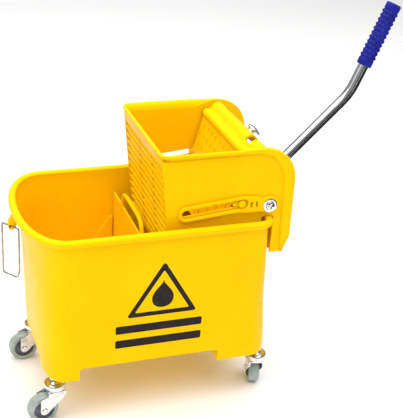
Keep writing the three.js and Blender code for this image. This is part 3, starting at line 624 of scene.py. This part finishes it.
# ---- wringer ----
LIP_BLEND_X = 108.0  # behind this the rolled lip turns square by degrees
REAR_CURVE = [(206, 404)] + bezier((206, 404), (206, 442), (182, GRATE_TOP.y), (142, GRATE_TOP.y), 22)
PANEL_BORE = arc(PIVOT_X, PIVOT_Z, 6.3, 0, 2 * math.pi, 28)[:-1]


def front_x(z):
    slope = (GRATE_FOOT.x - GRATE_TOP.x) / (GRATE_TOP.y - GRATE_FOOT.y)
    return GRATE_TOP.x + (GRATE_TOP.y - z) * slope


def panel_outline():
    top = GRATE_TOP.y
    notch_z = RIM_Z + RIM_R + 0.3
    points = [(front_x(top - 12), top - 12), (GRATE_FOOT.x, GRATE_FOOT.y), (154.5, GRATE_FOOT.y)]
    points += [(154.5, notch_z - 3), (157.5, notch_z), (172, notch_z), (175, notch_z - 3)]
    points += [(174, 279), (194, 279), (204.5, 303), (206, 309)]
    return points + REAR_CURVE + [(LIP_BLEND_X, top - 11)]


def flange_outline():
    """The raised band round the rear corner and down the leg."""
    top = GRATE_TOP.y
    outer = [(194, 279), (204.5, 303), (206, 309)] + REAR_CURVE + [(133, top - 1)]
    inner = [(133, top - 8.6), (138, top - 9)]
    inner += bezier((138, top - 9), (166, top - 9), (187, 436), (187.5, 400), 22)
    return outer + inner + [(188, 330), (191.5, 279)]


def track(front, rear, height, steps=10):
    r = height / 2
    tilt = SLOT_TILT
    rise = Vector((1, math.tan(tilt)))
    ends = [Vector((SHOE_X, SHOE_Z)) + rise * (x - SHOE_X) for x in (front + r, rear - r)]
    return (arc(ends[0].x, ends[0].y, r, math.pi / 2 + tilt, math.pi * 1.5 + tilt, steps)
            + arc(ends[1].x, ends[1].y, r, -math.pi / 2 + tilt, math.pi / 2 + tilt, steps))


# section of the rolled lip: outwards from the inner wall and up from the top
ROLLED = [(0.6, -13.5), (0.1, -11.5), (2.0, -5.6), (4.6, -2), (7, -0.4), (8.6, 0), (10.2, -0.8), (11, -2.8),
          (10.6, -5), (9.2, -6.8), (6.5, -8), (3.6, -9.4), (3.3, -13.5)]
SQUARE = [(0.4, -9), (0.4, -6), (0.4, -3), (0.8, -0.6), (2.6, 0), (5.4, 0), (7.2, -0.7), (8, -2.4), (8, -4.6),
          (8, -6.6), (7, -8.6), (4, -9), (2, -9)]


def make_lip():
    """The rolled lip along both sides and round the front, blending into the bands at its ends."""
    inner_x = GRATE_TOP.x + 8
    corners = [(x, y, 0) for x, y in ((142, -PANEL_IN_Y), (inner_x, -PANEL_IN_Y), (inner_x, PANEL_IN_Y),
                                      (142, PANEL_IN_Y))]
    bends = rounded_path(corners, 7, 10)
    path = []
    for a, b in zip(bends, bends[1:]):
        count = max(1, round((b - a).length / 6))
        path += [a.lerp(b, k / count) for k in range(count)]
    path.append(bends[-1])
    loops = []
    for i, p in enumerate(path):
        before, after = path[max(i - 1, 0)], path[min(i + 1, len(path) - 1)]
        out = (before - after).normalized().cross(Vector((0, 0, 1)))
        if out.y * p.y < 0 or (abs(p.y) < 60 and out.x > 0):
            out = -out
        t = min(max((p.x - LIP_BLEND_X) / (142 - LIP_BLEND_X), 0), 1)
        t = t * t * (3 - 2 * t)
        loops.append([p + out * (u0 + (u1 - u0) * t) + Vector((0, 0, GRATE_TOP.y + v0 + (v1 - v0) * t))
                      for (u0, v0), (u1, v1) in zip(ROLLED, SQUARE)])
    build = Build().loft(loops)
    build.piece("rolled_lip", YELLOW, "wringer", "yellow_plastic", sharp=60)


def make_grate():
    """Louvred front: three columns of shelves between four ribs."""
    build = Build()
    drop = GRATE_TOP - GRATE_FOOT
    length = drop.length
    lean = Matrix.Translation((GRATE_TOP.x, 0, GRATE_TOP.y)) @ Matrix.Rotation(
        -math.atan2(-drop.x, drop.y), 4, "Y")
    width = PANEL_IN_Y - 0.2
    depth = 11
    build.box(0.4, 5, -width, width, -25, -7, 0.6, lean)
    for rib in (-width + 1.4, -width / 3, width / 3, width - 1.4):
        build.box(2.2, depth, rib - 1.9, rib + 1.9, -length + 0.4, -12, 0.5, lean)
    rows = 13
    first, last = 25.0, length - 12
    for row in range(rows):
        z = -first - (last - first) * row / (rows - 1)
        tilt = lean @ Matrix.Translation((5.4, 0, z)) @ Matrix.Rotation(-0.10, 4, "Y")
        build.box(-5.2, 5.4, -width, width, -1.9, 1.9, 0.8, tilt)
    build.box(0.4, depth, -width, width, -length, 6 - length, 0.8, lean)
    build.piece("grate", YELLOW, "wringer", "yellow_plastic", ["front_grate"], sharp=34)


def make_wringer():
    for side in (-1, 1):
        build = Build()
        outlines = [panel_outline(), track(20, 136, 9.6), PANEL_BORE]
        build.plate(outlines, *sides_of(PANEL_IN_Y, PANEL_OUT_Y, side), 0.7)
        build.plate([flange_outline()], *sides_of(PANEL_IN_Y + 0.4, FLANGE_OUT_Y, side), 2.4)
        hand = "left" if side < 0 else "right"
        build.piece(f"{hand}_panel", YELLOW, "wringer", "yellow_plastic", [f"{hand}_side_panel"], sharp=34)
    make_lip()
    make_grate()
    floor = Build()
    width = PANEL_IN_Y - 0.3
    floor_z = GRATE_FOOT.y
    for x in range(22, 71, 12):
        floor.box(x - 2, x + 2, -width, width, floor_z, floor_z + 6, 0.6)
    for y in (-70, 0, 70):
        floor.box(15, 72, y - 3, y + 3, floor_z + 0.3, floor_z + 5, 0.6)
    floor.piece("drain_grid", YELLOW, "wringer", "yellow_plastic", ["drain_floor"])
    # wall between the legs, folded at its top
    section = [(175.3, 281.5), (178.3, 281.5), (178.3, APRON_TOP - 3), (179.2, APRON_TOP - 1.2),
               (181, APRON_TOP - 0.4), (181, APRON_TOP), (175.3, APRON_TOP)]
    apron = Build().plate([section], -width, width, 0.3)
    for y in (-72, -24, 24, 72):
        apron.box(177.5, 180.5, y - 1.3, y + 1.3, 284, APRON_TOP - 3, 0.5)
    apron.piece("apron", YELLOW, "wringer", "yellow_plastic", ["rear_apron"])


make_wringer()


def make_rail(side):
    hand = "left" if side < 0 else "right"
    level = lambda x, up: SHOE_Z + (x - SHOE_X) * math.tan(SLOT_TILT) + up
    half, waist = 13.5, 12
    outline = arc(26, level(26, 0), half, math.pi / 2 + SLOT_TILT, math.pi * 1.5 + SLOT_TILT, 16)
    start = (104, level(104, -half))
    neck = (134, PIVOT_Z - waist + 1)
    outline += [start] + bezier(start, (116, level(116, -half)), (124, PIVOT_Z - waist), neck, 8)
    outline += [(150, PIVOT_Z - waist + 1)]
    outline += arc(PIVOT_X, PIVOT_Z, 15.5, math.pi * 1.28, math.pi * 2.72, 24)
    end = outline[-1]
    outline += bezier(end, (146, PIVOT_Z + 17), (136, PIVOT_Z + 17), (128, PIVOT_Z + 18), 8)
    outline += bezier((128, PIVOT_Z + 18), (118, PIVOT_Z + 20), (110, level(106, half)),
                      (100, level(100, half)), 8)
    slot = track(18.5, 127.5, 14.4, 14)
    holes = [[(x - 1.7, PIVOT_Z - 1), (x + 1.7, PIVOT_Z - 1), (x + 1.7, PIVOT_Z + 8), (x - 1.7, PIVOT_Z + 8)]
             for x in (133.5, 142.5)]
    y0, y1 = sides_of(PANEL_OUT_Y + 0.3, PANEL_OUT_Y + 5, side)
    rail = Build().plate([outline, slot], y0, y1, 2.1)
    rail.cut(*[Build().plate([hole], y0 - 2, y1 + 2, CUTTER_EDGE) for hole in (*holes, PANEL_BORE)])
    rail.piece(f"{hand}_rail", YELLOW, "wringer", "yellow_plastic", [f"{hand}_guide_rail"], sharp=40)
    # guide shoe with its round pin
    s0, s1 = sides_of(PRESS_HALF_W + 0.3, PANEL_OUT_Y - 0.3, side)
    shoe = Build().plate([track(SHOE_X - 15, SHOE_X + 15, 8.8)], s0, s1, 0.6)
    pin = [(0, 108), (4, 108), (4, 113.4), (5.6, 113.4), (6, 113.8), (6, 117.2), (5.6, 118.1), (4.7, 118.5),
           (0, 118.5)]
    shoe.lathe(pin, lathe_y(SHOE_X, SHOE_Z, side < 0), 32)
    shoe.piece(f"{hand}_shoe", YELLOW, "press", "yellow_plastic", [f"{hand}_guide_shoe"])
    # dished washer and cross-head screw
    shaft_line = lathe_y(PIVOT_X, PIVOT_Z, side < 0)
    base = PANEL_OUT_Y + 5.3
    washer = [(3.2, base), (11.2, base), (11.5, base + 0.4), (11.3, base + 1.0), (9.6, base + 1.5),
              (7.6, base + 1.1), (3.2, base + 0.9), (3.2, base)]
    Build().lathe(washer, shaft_line, 48).piece(
        f"{hand}_washer", CHROME, "lever", "chrome", [f"{hand}_shaft_washer"])
    head = PANEL_OUT_Y + 7.1
    profile = [(0, 107), (2.8, 107), (2.8, head), (6.6, head), (7, head + 0.5), (6.7, head + 1.5),
               (5.2, head + 2.4), (2.6, head + 2.85), (0, head + 2.9)]
    screw = Build().lathe(profile, shaft_line, 40)
    c0, c1 = sides_of(head - 0.4, head + 6, side)
    cross = Build().box(PIVOT_X - 4.8, PIVOT_X + 4.8, c0, c1, PIVOT_Z - 1.5, PIVOT_Z + 1.5, 0.1)
    upright = Build().box(PIVOT_X - 1.5, PIVOT_X + 1.5, c0, c1, PIVOT_Z - 4.8, PIVOT_Z + 4.8, 0.1)
    screw.cut(cross, upright)
    screw.piece(f"{hand}_screw", CHROME, "lever", "chrome", [f"{hand}_shaft_screw"])
    # torsion spring
    coil = []
    for i in range(97):
        a = i / 96 * 3 * 2 * math.pi
        coil.append((PIVOT_X + 10.4 * math.cos(a), side * (84 + 17 * i / 96), PIVOT_Z + 10.4 * math.sin(a)))
    Build().sweep(coil, 1.3, 10, 0.3).piece(
        f"{hand}_spring", STEEL, "wringer", "plain_steel", [f"{hand}_torsion_spring"])


for one_side in (-1, 1):
    make_rail(one_side)


# ---- press ----
def make_press():
    lean = (PLATE_TOP - PLATE_FOOT).normalized()
    length = (PLATE_TOP - PLATE_FOOT).length
    # built flat, with X across the press and Z up its face, then stood on the foot of the plate
    stand = Matrix((
        (0, lean.y, lean.x, PLATE_FOOT.x),
        (1, 0, 0, 0),
        (0, -lean.x, lean.y, PLATE_FOOT.y),
        (0, 0, 0, 1),
    ))
    face = [(-PRESS_HALF_W, 0), (PRESS_HALF_W, 0), (PRESS_HALF_W, length), (-PRESS_HALF_W, length)]
    slits = []
    rows = 8
    for row in range(rows):
        up = 14 + (length - 31) * row / (rows - 1)
        start, count = (-85.5, 10) if row % 2 else (-95, 11)
        for k in range(count):
            x = start + 19 * k
            slits.append([(x - 1.4, up - 4), (x + 1.4, up - 4), (x + 1.4, up + 4), (x - 1.4, up + 4)])
    build = Build().plate([face, *slits], 0, 5, 0.35, stand)
    for x, z, radius, sides, soft_end in ((PLATE_TOP.x + 4, PLATE_TOP.y + 3, 8, 32, 1.2),
                                          (PLATE_FOOT.x + 3, PLATE_FOOT.y, 4.5, 20, 1)):
        build.sweep([(x, y, z) for y in (-PRESS_HALF_W, -50, 50, PRESS_HALF_W)], radius, sides, soft_end)
    pins = [Vector((PIVOT_X, PIVOT_Z)) + SLOT_FORWARD * d + SLOT_DOWN * CAM_RATIO
            for d in (CAM_START + 5, CAM_START - CAM_THICK - 5)]
    cheek = [(118, 400), (128, 345), (pins[1].x + 9, 326), (pins[1].x + 9, 303), (92, 300), (102, 345)]
    shoe_plate = [(108, 386), (134, 386), (134, 362), (104, 362)]
    bores = [arc(p.x, p.y, 5.3, 0, 2 * math.pi, 24)[:-1] for p in pins]
    for side in (-1, 1):
        build.plate([cheek, *bores], *sides_of(43, 47, side), 0.7)
        build.plate([shoe_plate], *sides_of(PRESS_HALF_W - 4, PRESS_HALF_W, side), 0.7)
    build.piece("press_face", YELLOW, "press", "yellow_plastic", ["press_plate"], sharp=34)

    outline = [(131, 449.5)] + bezier((131, 452.2), (137, 452), (139, 463.6), (149, 464), 14)
    outline += bezier((149, 464), (158, 464), (167, 452), (174, 431), 20)
    outline += bezier((170.6, 430), (163.5, 449), (157, 460.4), (149.5, 460.4), 20)
    outline += bezier((149.5, 460.4), (142, 460), (141, 452), (137, 449.5), 10)
    hood = Build().plate([outline], -PRESS_HALF_W, PRESS_HALF_W, 0.8)
    cutters = []
    for side in (-1, 1):
        rounded = arc(0, 455, HOOD_NOTCH, math.pi, 2 * math.pi, 12)
        notch = [(side * LEVER_Y + y, z) for y, z in [(-HOOD_NOTCH, 490), *rounded, (HOOD_NOTCH, 490)]]
        start = 139 if side < 0 else 153
        cutters.append(Build().plate([notch], -215, -start, CUTTER_EDGE, QUARTER_TURN))
    hood.cut(*cutters)
    web = [(139, 450), (143, 459), (150, 461.5), (159, 457), (166, 446), (150, 444)]
    for side in (-1, 1):
        hood.plate([web], *sides_of(PRESS_HALF_W - 3, PRESS_HALF_W, side), 0.5)
    hood.piece("hood", YELLOW, "press", "yellow_plastic", ["press_hood"], sharp=34)


make_press()


# ---- lever ----
LEVER_DIR = Vector((math.cos(LEVER_ANGLE), 0, math.sin(LEVER_ANGLE)))
LEVER_UP = Vector((-math.sin(LEVER_ANGLE), 0, math.cos(LEVER_ANGLE)))


def lever_point(t, side):
    return Vector((PIVOT_X, side * LEVER_Y, PIVOT_Z)) + LEVER_UP * LEVER_OFFSET + LEVER_DIR * t


def along(direction, origin):
    """Turns a lathe's Z axis to a direction and puts its base at origin."""
    turn = Vector((0, 0, 1)).rotation_difference(direction).to_matrix().to_4x4()
    return Matrix.Translation(origin) @ turn


BEND = lever_point(216, -1)
GRIP_TOP = Vector((369, -LEVER_Y, 673))
GRIP_DIR = (GRIP_TOP - BEND).normalized()
GRIP_LENGTH = 106.0


def make_yoke():
    build = Build()
    build.lathe([(6.3, -80), (12.2, -80), (13, -79.2), (13, 79.2), (12.2, 80), (6.3, 80), (6.3, -80)],
                lathe_y(PIVOT_X, PIVOT_Z), 40)

    def face_at(start, angle, inset):
        p = SLOT_FORWARD * (start + CAM_RATIO * angle + inset) + SLOT_DOWN * CAM_RATIO
        c, s = math.cos(angle), math.sin(angle)
        return (PIVOT_X + p.x * c - p.y * s, PIVOT_Z + p.x * s + p.y * c)

    low, high, steps = -0.14, LEVER_RANGE + 0.02, 24
    angles = [low + (high - low) * i / steps for i in range(steps + 1)]
    front = [face_at(CAM_START, a, -0.3) for a in angles]
    back = [face_at(CAM_START - CAM_THICK, a, 0.3) for a in reversed(angles)]
    horn = front + back
    arm = [(PIVOT_X + 2, PIVOT_Z + 9), (PIVOT_X - 9, PIVOT_Z + 9), front[0], front[2], back[-3], back[-1],
           (PIVOT_X - 1, PIVOT_Z - 11)]
    for side in (-1, 1):
        build.plate([horn], *sides_of(29, 35, side), 0.7)
        build.plate([arm], *sides_of(29.2, 34.8, side), 0.7)
        socket = [(0, -2), (11.8, -2), (12.5, -1.3), (12.5, 39.3), (11.8, 40), (9.3, 40), (8.8, 39.6),
                  (8.8, 8), (0, 8)]
        build.lathe(socket, along(LEVER_DIR, lever_point(0, side)), 40)
    build.piece("yoke", YELLOW, "lever", "yellow_plastic", ["handle_yoke"])


make_yoke()


def make_lever():
    start = lever_point(9, -1)
    end = GRIP_TOP - GRIP_DIR * 6
    straight = [start.lerp(BEND, k / 8) for k in range(8)]
    path = [p for p in straight if (p - BEND).length > 24] + turned(start, BEND, GRIP_TOP, 19, 18)
    path += [path[-1].lerp(end, k / 5) for k in range(1, 6)]
    Build().sweep(path, TUBE_R, 48, 0.6).piece("lever_tube", CHROME, "lever", "chrome", ["handle_tube"])

    # grip: plain cuffs and staggered round pimples between them
    around, rows = 120, 212
    pimple_rows, per_row = 11, 10
    cuff, core = 12.4, 11.3
    loops = []
    for j in range(rows + 1):
        h = GRIP_LENGTH * j / rows
        ring = []
        for i in range(around):
            angle = 2 * math.pi * i / around
            r = cuff
            if 11 < h < GRIP_LENGTH - 11:
                r = core
                pitch = (GRIP_LENGTH - 24) / pimple_rows
                row = (h - 12) / pitch
                for k in (int(row) - 1, int(row), int(row) + 1):
                    if not 0 <= k < pimple_rows:
                        continue
                    turn = angle * per_row / (2 * math.pi) - (0.5 if k % 2 else 0)
                    off = (turn - round(turn)) * 2 * math.pi * core / per_row
                    d = math.hypot(off, h - 12 - (k + 0.5) * pitch)
                    if d < 3.6:
                        r = max(r, core + 1.9 * (math.cos(math.pi * d / 7.2)) ** 1.3)
            edge = min(h, GRIP_LENGTH - h)
            soft = 1.2 if h < 50 else 3.2
            if edge < soft:
                r -= soft - math.sqrt(soft ** 2 - (soft - edge) ** 2)
            r -= max(0, h - GRIP_LENGTH + 20) * 0.012
            if abs(edge - 11) < 0.8:
                r = min(r, cuff - 0.25)
            ring.append((r * math.cos(angle), r * math.sin(angle), h))
        loops.append(ring)
    inner = TUBE_R + 0.3
    bottom = [circle(r, h, around)
              for r, h in ((1e-3, GRIP_LENGTH - 5), (inner, GRIP_LENGTH - 5), (inner, 0))]
    grip = Build().loft(bottom + loops + [circle(1e-3, GRIP_LENGTH, around)])
    Build().merge(grip, along(GRIP_DIR, GRIP_TOP - GRIP_DIR * GRIP_LENGTH)).piece(
        "grip", BLUE, "lever", "grip_blue", ["handle_grip"], sharp=50)

    # cap in the spare socket
    profile = [(0, 9), (8.0, 9), (8.5, 9.5), (8.5, 41.2), (9.5, 41.4), (10, 42), (10, 63.6), (9.4, 64.2),
               (12.4, 64.4), (13, 65.2), (13, 66.4), (12.4, 67.8), (10.8, 69.3), (8, 70.6), (4.5, 71.3),
               (0, 71.5)]
    Build().lathe(profile, along(LEVER_DIR, lever_point(0, 1)), 48).piece(
        "spare_cap", CHROME, "lever", "chrome", ["spare_socket_cap"])

    # cross bolt through the left socket
    at = lever_point(24, -1)
    bolt = [(0, -78.5), (2.6, -78.5), (3, -78.1), (3, -51.9), (2.6, -51.5), (0, -51.5)]
    Build().lathe(bolt, lathe_y(at.x, at.z), 24).piece(
        "cross_bolt", ZINC, "lever", "zinc_steel", ["handle_bolt"])


make_lever()


# ---- wire loop ----
def make_loop():
    eye = Vector((-228.5, 0, 315))
    way = Vector((0.61, -0.79, 0)).normalized()
    half, drop = 18, 90

    def at(s, down):
        return eye + way * s - Vector((0, 0, down))

    stops = [at(s, down) for s, down in ((0.2, 0), (half, 0), (half, drop - 14), (half - 5, drop),
                                         (-half, drop), (-half, 0), (-0.2, 0))]
    Build().sweep(rounded_path(stops, 4, 7), 1.6, 14, 0.3).piece(
        "wire_loop_bent", WIRE, "wire_loop", "zinc_steel", ["front_wire_loop"])


make_loop()


# ---- castors ----
def make_castor(name, x, y, heading):
    swivel = Matrix.Translation((x, y, 0)) @ Matrix.Rotation(math.radians(heading), 4, "Z")
    post = Matrix.Translation((x, y, 0))
    # stem and the open cup that carries the ball race
    cup = [(0, 60.2), (10, 60.2), (15.5, 60.0), (17.2, 60.8), (17.9, 63), (18.1, 66), (17.9, 68.6),
           (17.1, 69.8), (16.0, 69.7), (15.3, 68.6), (14.4, 66.4), (12.0, 64.4), (9.8, 64.0), (9.0, 64.8),
           (8.7, 67), (8.0, 70), (6.2, 71.4), (5.2, 72.2), (5.0, 76), (7.6, 77.4), (8.4, 78.4), (8.4, 81.8),
           (7.9, 82.7), (4.8, 82.7), (4.8, 101.6), (4.4, 102), (0, 102)]
    Build().lathe(cup, post, 48).piece(f"{name}_cup", ZINC, "bucket", "zinc_steel", [f"{name}_stem"])

    inner = WHEEL_W / 2 + 1.2
    outer = inner + FORK_SHEET
    # folded strip across the fork, then cut to the side outline
    section = [(-outer, 15), *arc(-outer + 4, FORK_TOP - 4, 4, math.pi, math.pi / 2, 6),
               *arc(outer - 4, FORK_TOP - 4, 4, math.pi / 2, 0, 6), (outer, 15), (inner, 15),
               *arc(inner - 2, FORK_TOP - 4, 2, 0, math.pi / 2, 4),
               *arc(-inner + 2, FORK_TOP - 4, 2, math.pi / 2, math.pi, 4), (-inner, 15)]
    folded = Build().plate([section], -20, 31, CUTTER_EDGE, QUARTER_TURN)
    knee = WHEEL_R + 3
    side_view = [(15, 70), (15, 50), (12, 46), *arc(-TRAIL, WHEEL_R, 7.2, -math.pi * 0.22, -math.pi, 10),
                 (-TRAIL - 7.2, knee), (-TRAIL - 6.8, 47), (-14.5, 52), (-14.5, 70)]
    folded.cut(Build().plate([side_view], -40, 40, CUTTER_EDGE), operation="INTERSECT")
    fork = Build().merge(folded, swivel)
    fork.piece(f"{name}_fork_folded", ZINC, f"{name}_swivel", "zinc_steel", [f"{name}_fork"], sharp=30)

    axis = swivel @ Matrix.Translation((-TRAIL, 0, WHEEL_R)) @ ALONG_Y
    half = WHEEL_W / 2
    tread = [(17.4, -half + 0.2), (21.6, -half), (22.6, -half + 0.2)]
    tread += [(WHEEL_R - 4.6 + 4.6 * math.cos(a), up - half)
              for a, up in ((1.0, 0.6), (0.65, 1.6), (0.3, 3.2), (0.1, 5.2), (0, 7.5))]
    tread += [(r, -h) for r, h in tread[::-1]]
    Build().lathe(tread + [tread[0]], axis, 64).piece(
        f"{name}_tyre_round", TYRE, f"{name}_wheel", "tyre_grey", [f"{name}_tyre"], sharp=50)
    hub = [(3.3, -half - 0.6), (6.6, -half - 0.6), (7, -half - 0.2), (7.4, -half + 2.2), (8.4, -half + 2.6),
           (14.2, -half + 2.4), (15.0, -half + 1.6), (15.3, -half + 0.2), (15.8, -half - 0.1), (17.0, -half)]
    hub += [(r, -h) for r, h in hub[::-1]]
    Build().lathe(hub + [hub[0]], axis, 48).piece(
        f"{name}_hub_disc", HUB, f"{name}_wheel", "wheel_hub", [f"{name}_hub"])
    axle = [(0, -outer - 2), (4.2, -outer - 2), (5, -outer - 1.3), (5, -outer - 0.3), (3, -outer - 0.3)]
    axle += [(r, -h) for r, h in axle[::-1]]
    Build().lathe(axle, axis, 28).piece(
        f"{name}_axle_pin", ZINC, f"{name}_swivel", "zinc_steel", [f"{name}_axle"])


for castor_name, (cx, cy, turn_deg) in CASTORS.items():
    make_castor(castor_name, cx, cy, turn_deg)


# ---- generic print on the near wall: a rounded three-sided outline, a drop and two plain bars ----
INK_HALF = 0.05  # half the thickness of the ink


def on_wall(outline, build, hole=None):
    """An outline in X and Z, laid on the left wall as a thin layer of ink."""
    flat = Build()
    if hole:
        layers = ((outline, -INK_HALF), (hole, -INK_HALF), (hole, INK_HALF), (outline, INK_HALF))
    else:
        layers = ((outline, -INK_HALF), (outline, INK_HALF))
    flat.loft([[(x, y, z) for x, z in points] for points, y in layers], closed=bool(hole))
    bm = bmesh.new()
    verts = [bm.verts.new(v) for v in flat.verts]
    for face in flat.faces:
        bm.faces.new([verts[i] for i in face])
    for z in range(118, 300, 6):
        bmesh.ops.bisect_plane(bm, geom=bm.verts[:] + bm.edges[:] + bm.faces[:],
                               plane_co=(0, 0, z), plane_no=(0, 0, 1))
    bm.verts.index_update()
    moved = [(v.co.x, v.co.y - at_height(HALF_Y, v.co.z) - INK_HALF - 0.01, v.co.z) for v in bm.verts]
    faces = [tuple(v.index for v in f.verts) for f in bm.faces]
    bm.free()
    build.add(moved, faces)


def make_print():
    build = Build()
    outer = soft_corners([(-8, 291), (-67, 192), (51, 192)], 7)
    inner = soft_corners([(-8, 275.5), (-53.5, 200), (37.5, 200)], 3)
    on_wall(outer, build, inner)
    drop = [(-8, 257)] + bezier((-8, 257), (-6, 247), (10, 238), (10, 224), 12)
    drop += bezier((10, 224), (10, 212), (2, 206), (-8, 206), 10)
    drop += bezier((-8, 206), (-18, 206), (-26, 212), (-26, 224), 10)
    drop += bezier((-26, 224), (-26, 238), (-10, 247), (-8, 257), 12)[:-1]
    on_wall(drop, build)
    for z0, z1 in ((163, 178), (136, 151)):
        on_wall(soft_corners([(-84, z0), (61, z0), (61, z1), (-84, z1)], 3), build)
    build.piece("plain_print", INK, "bucket", "yellow_plastic")


make_print()

# the pins and the shaft keep their CAD shape
for node in ("thrust_pin", "return_pin", "pivot_shaft"):
    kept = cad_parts[node]
    kept.data.materials.clear()
    kept.data.materials.append(STEEL)
    for polygon in kept.data.polygons:
        polygon.material_index = 0


# ---- floor, light and camera ----
def plain_material(name, colour, roughness):
    n = Nodes(name, 0.0, roughness)
    tint = n.ramp(n.noise(3, 3), ((0.3, tuple(c * 0.99 for c in colour)), (0.7, colour)))
    return n.finish(tint, n.spread(n.noise(40, 3), roughness - 0.05, roughness + 0.05))


def make_stage():
    span, steps = 2.6, 12
    verts = [(-span + 2 * span * i / steps, -span + 2 * span * j / steps, 0)
             for j in range(steps + 1) for i in range(steps + 1)]
    row = steps + 1
    faces = [(j * row + i, j * row + i + 1, (j + 1) * row + i + 1, (j + 1) * row + i)
             for j in range(steps) for i in range(steps)]
    mesh = bpy.data.meshes.new("floor")
    mesh.from_pydata(verts, [], faces)
    mesh.materials.append(plain_material("pale_floor", (0.97, 0.965, 0.96), 0.7))
    floor = place("floor", mesh)
    # dark cards, seen only in reflections, give the bright metal its dark bands
    black = plain_material("black_card", (0.004, 0.004, 0.004), 0.9)
    for name, spot, side, rise in (("card_low", (1.35, -0.4, 0.03), (0.8, 0, 0), (0, 1.7, 0)),
                                    ("card_front", (0.7, -3.0, 0.45), (0.9, 0, 0), (0, 0, 0.45))):
        middle, side, rise = Vector(spot), Vector(side), Vector(rise)
        mesh = bpy.data.meshes.new(name)
        corners = [middle - side - rise, middle + side - rise, middle + side + rise, middle - side + rise]
        mesh.from_pydata(corners, [], [(0, 1, 2, 3)])
        mesh.materials.append(black)
        card = place(name, mesh)
        card.visible_camera = card.visible_diffuse = card.visible_shadow = False


def area(name, location, target, size, power):
    light = bpy.data.lights.new(name, "AREA")
    light.shape = "RECTANGLE"
    light.size, light.size_y = size
    light.energy = power
    made = place(name, light)
    made.location = location
    made.rotation_mode = "QUATERNION"
    made.rotation_quaternion = (Vector(target) - Vector(location)).to_track_quat("-Z", "Y")


def make_light():
    world = bpy.data.worlds.new("studio")
    world.use_nodes = True
    tree = world.node_tree
    background = tree.nodes["Background"]
    paths = tree.nodes.new("ShaderNodeLightPath")
    mixer = tree.nodes.new("ShaderNodeMapRange")
    mixer.inputs["To Min"].default_value = 0.32
    mixer.inputs["To Max"].default_value = 1.0
    tree.links.new(paths.outputs["Is Camera Ray"], mixer.inputs["Value"])
    tree.links.new(mixer.outputs["Result"], background.inputs["Strength"])
    background.inputs["Color"].default_value = (1, 1, 1, 1)
    bpy.context.scene.world = world
    area("overhead", (-0.3, -0.3, 3.0), (0, 0, 0.2), (5.0, 5.0), 215)
    area("left_window", (-2.4, -0.6, 1.3), (-0.2, 0, 0.3), (1.4, 1.6), 4)


def make_camera():
    yaw, pitch, roll = math.radians(-20.4), math.radians(25.8), math.radians(3.7)
    forward = Vector((-math.sin(yaw) * math.cos(pitch), math.cos(yaw) * math.cos(pitch), -math.sin(pitch)))
    right = Vector((math.cos(yaw), math.sin(yaw), 0))
    up = right.cross(forward)
    right, up = right * math.cos(roll) + up * math.sin(roll), up * math.cos(roll) - right * math.sin(roll)
    data = bpy.data.cameras.new("camera")
    data.sensor_width = 36
    data.lens = 36 * 1000 / 418  # focal length over the long side of the frame
    data.clip_start, data.clip_end = 0.05, 50
    camera = place("camera", data)
    spot = Vector(((-437.4 + SHIFT) / 1000, -1.4271, 1.0480))
    camera.matrix_world = Matrix((
        (right.x, up.x, -forward.x, spot.x),
        (right.y, up.y, -forward.y, spot.y),
        (right.z, up.z, -forward.z, spot.z),
        (0, 0, 0, 1),
    ))
    bpy.context.scene.camera = camera


make_stage()
make_light()
make_camera()
bpy.context.scene.view_settings.view_transform = "Standard"
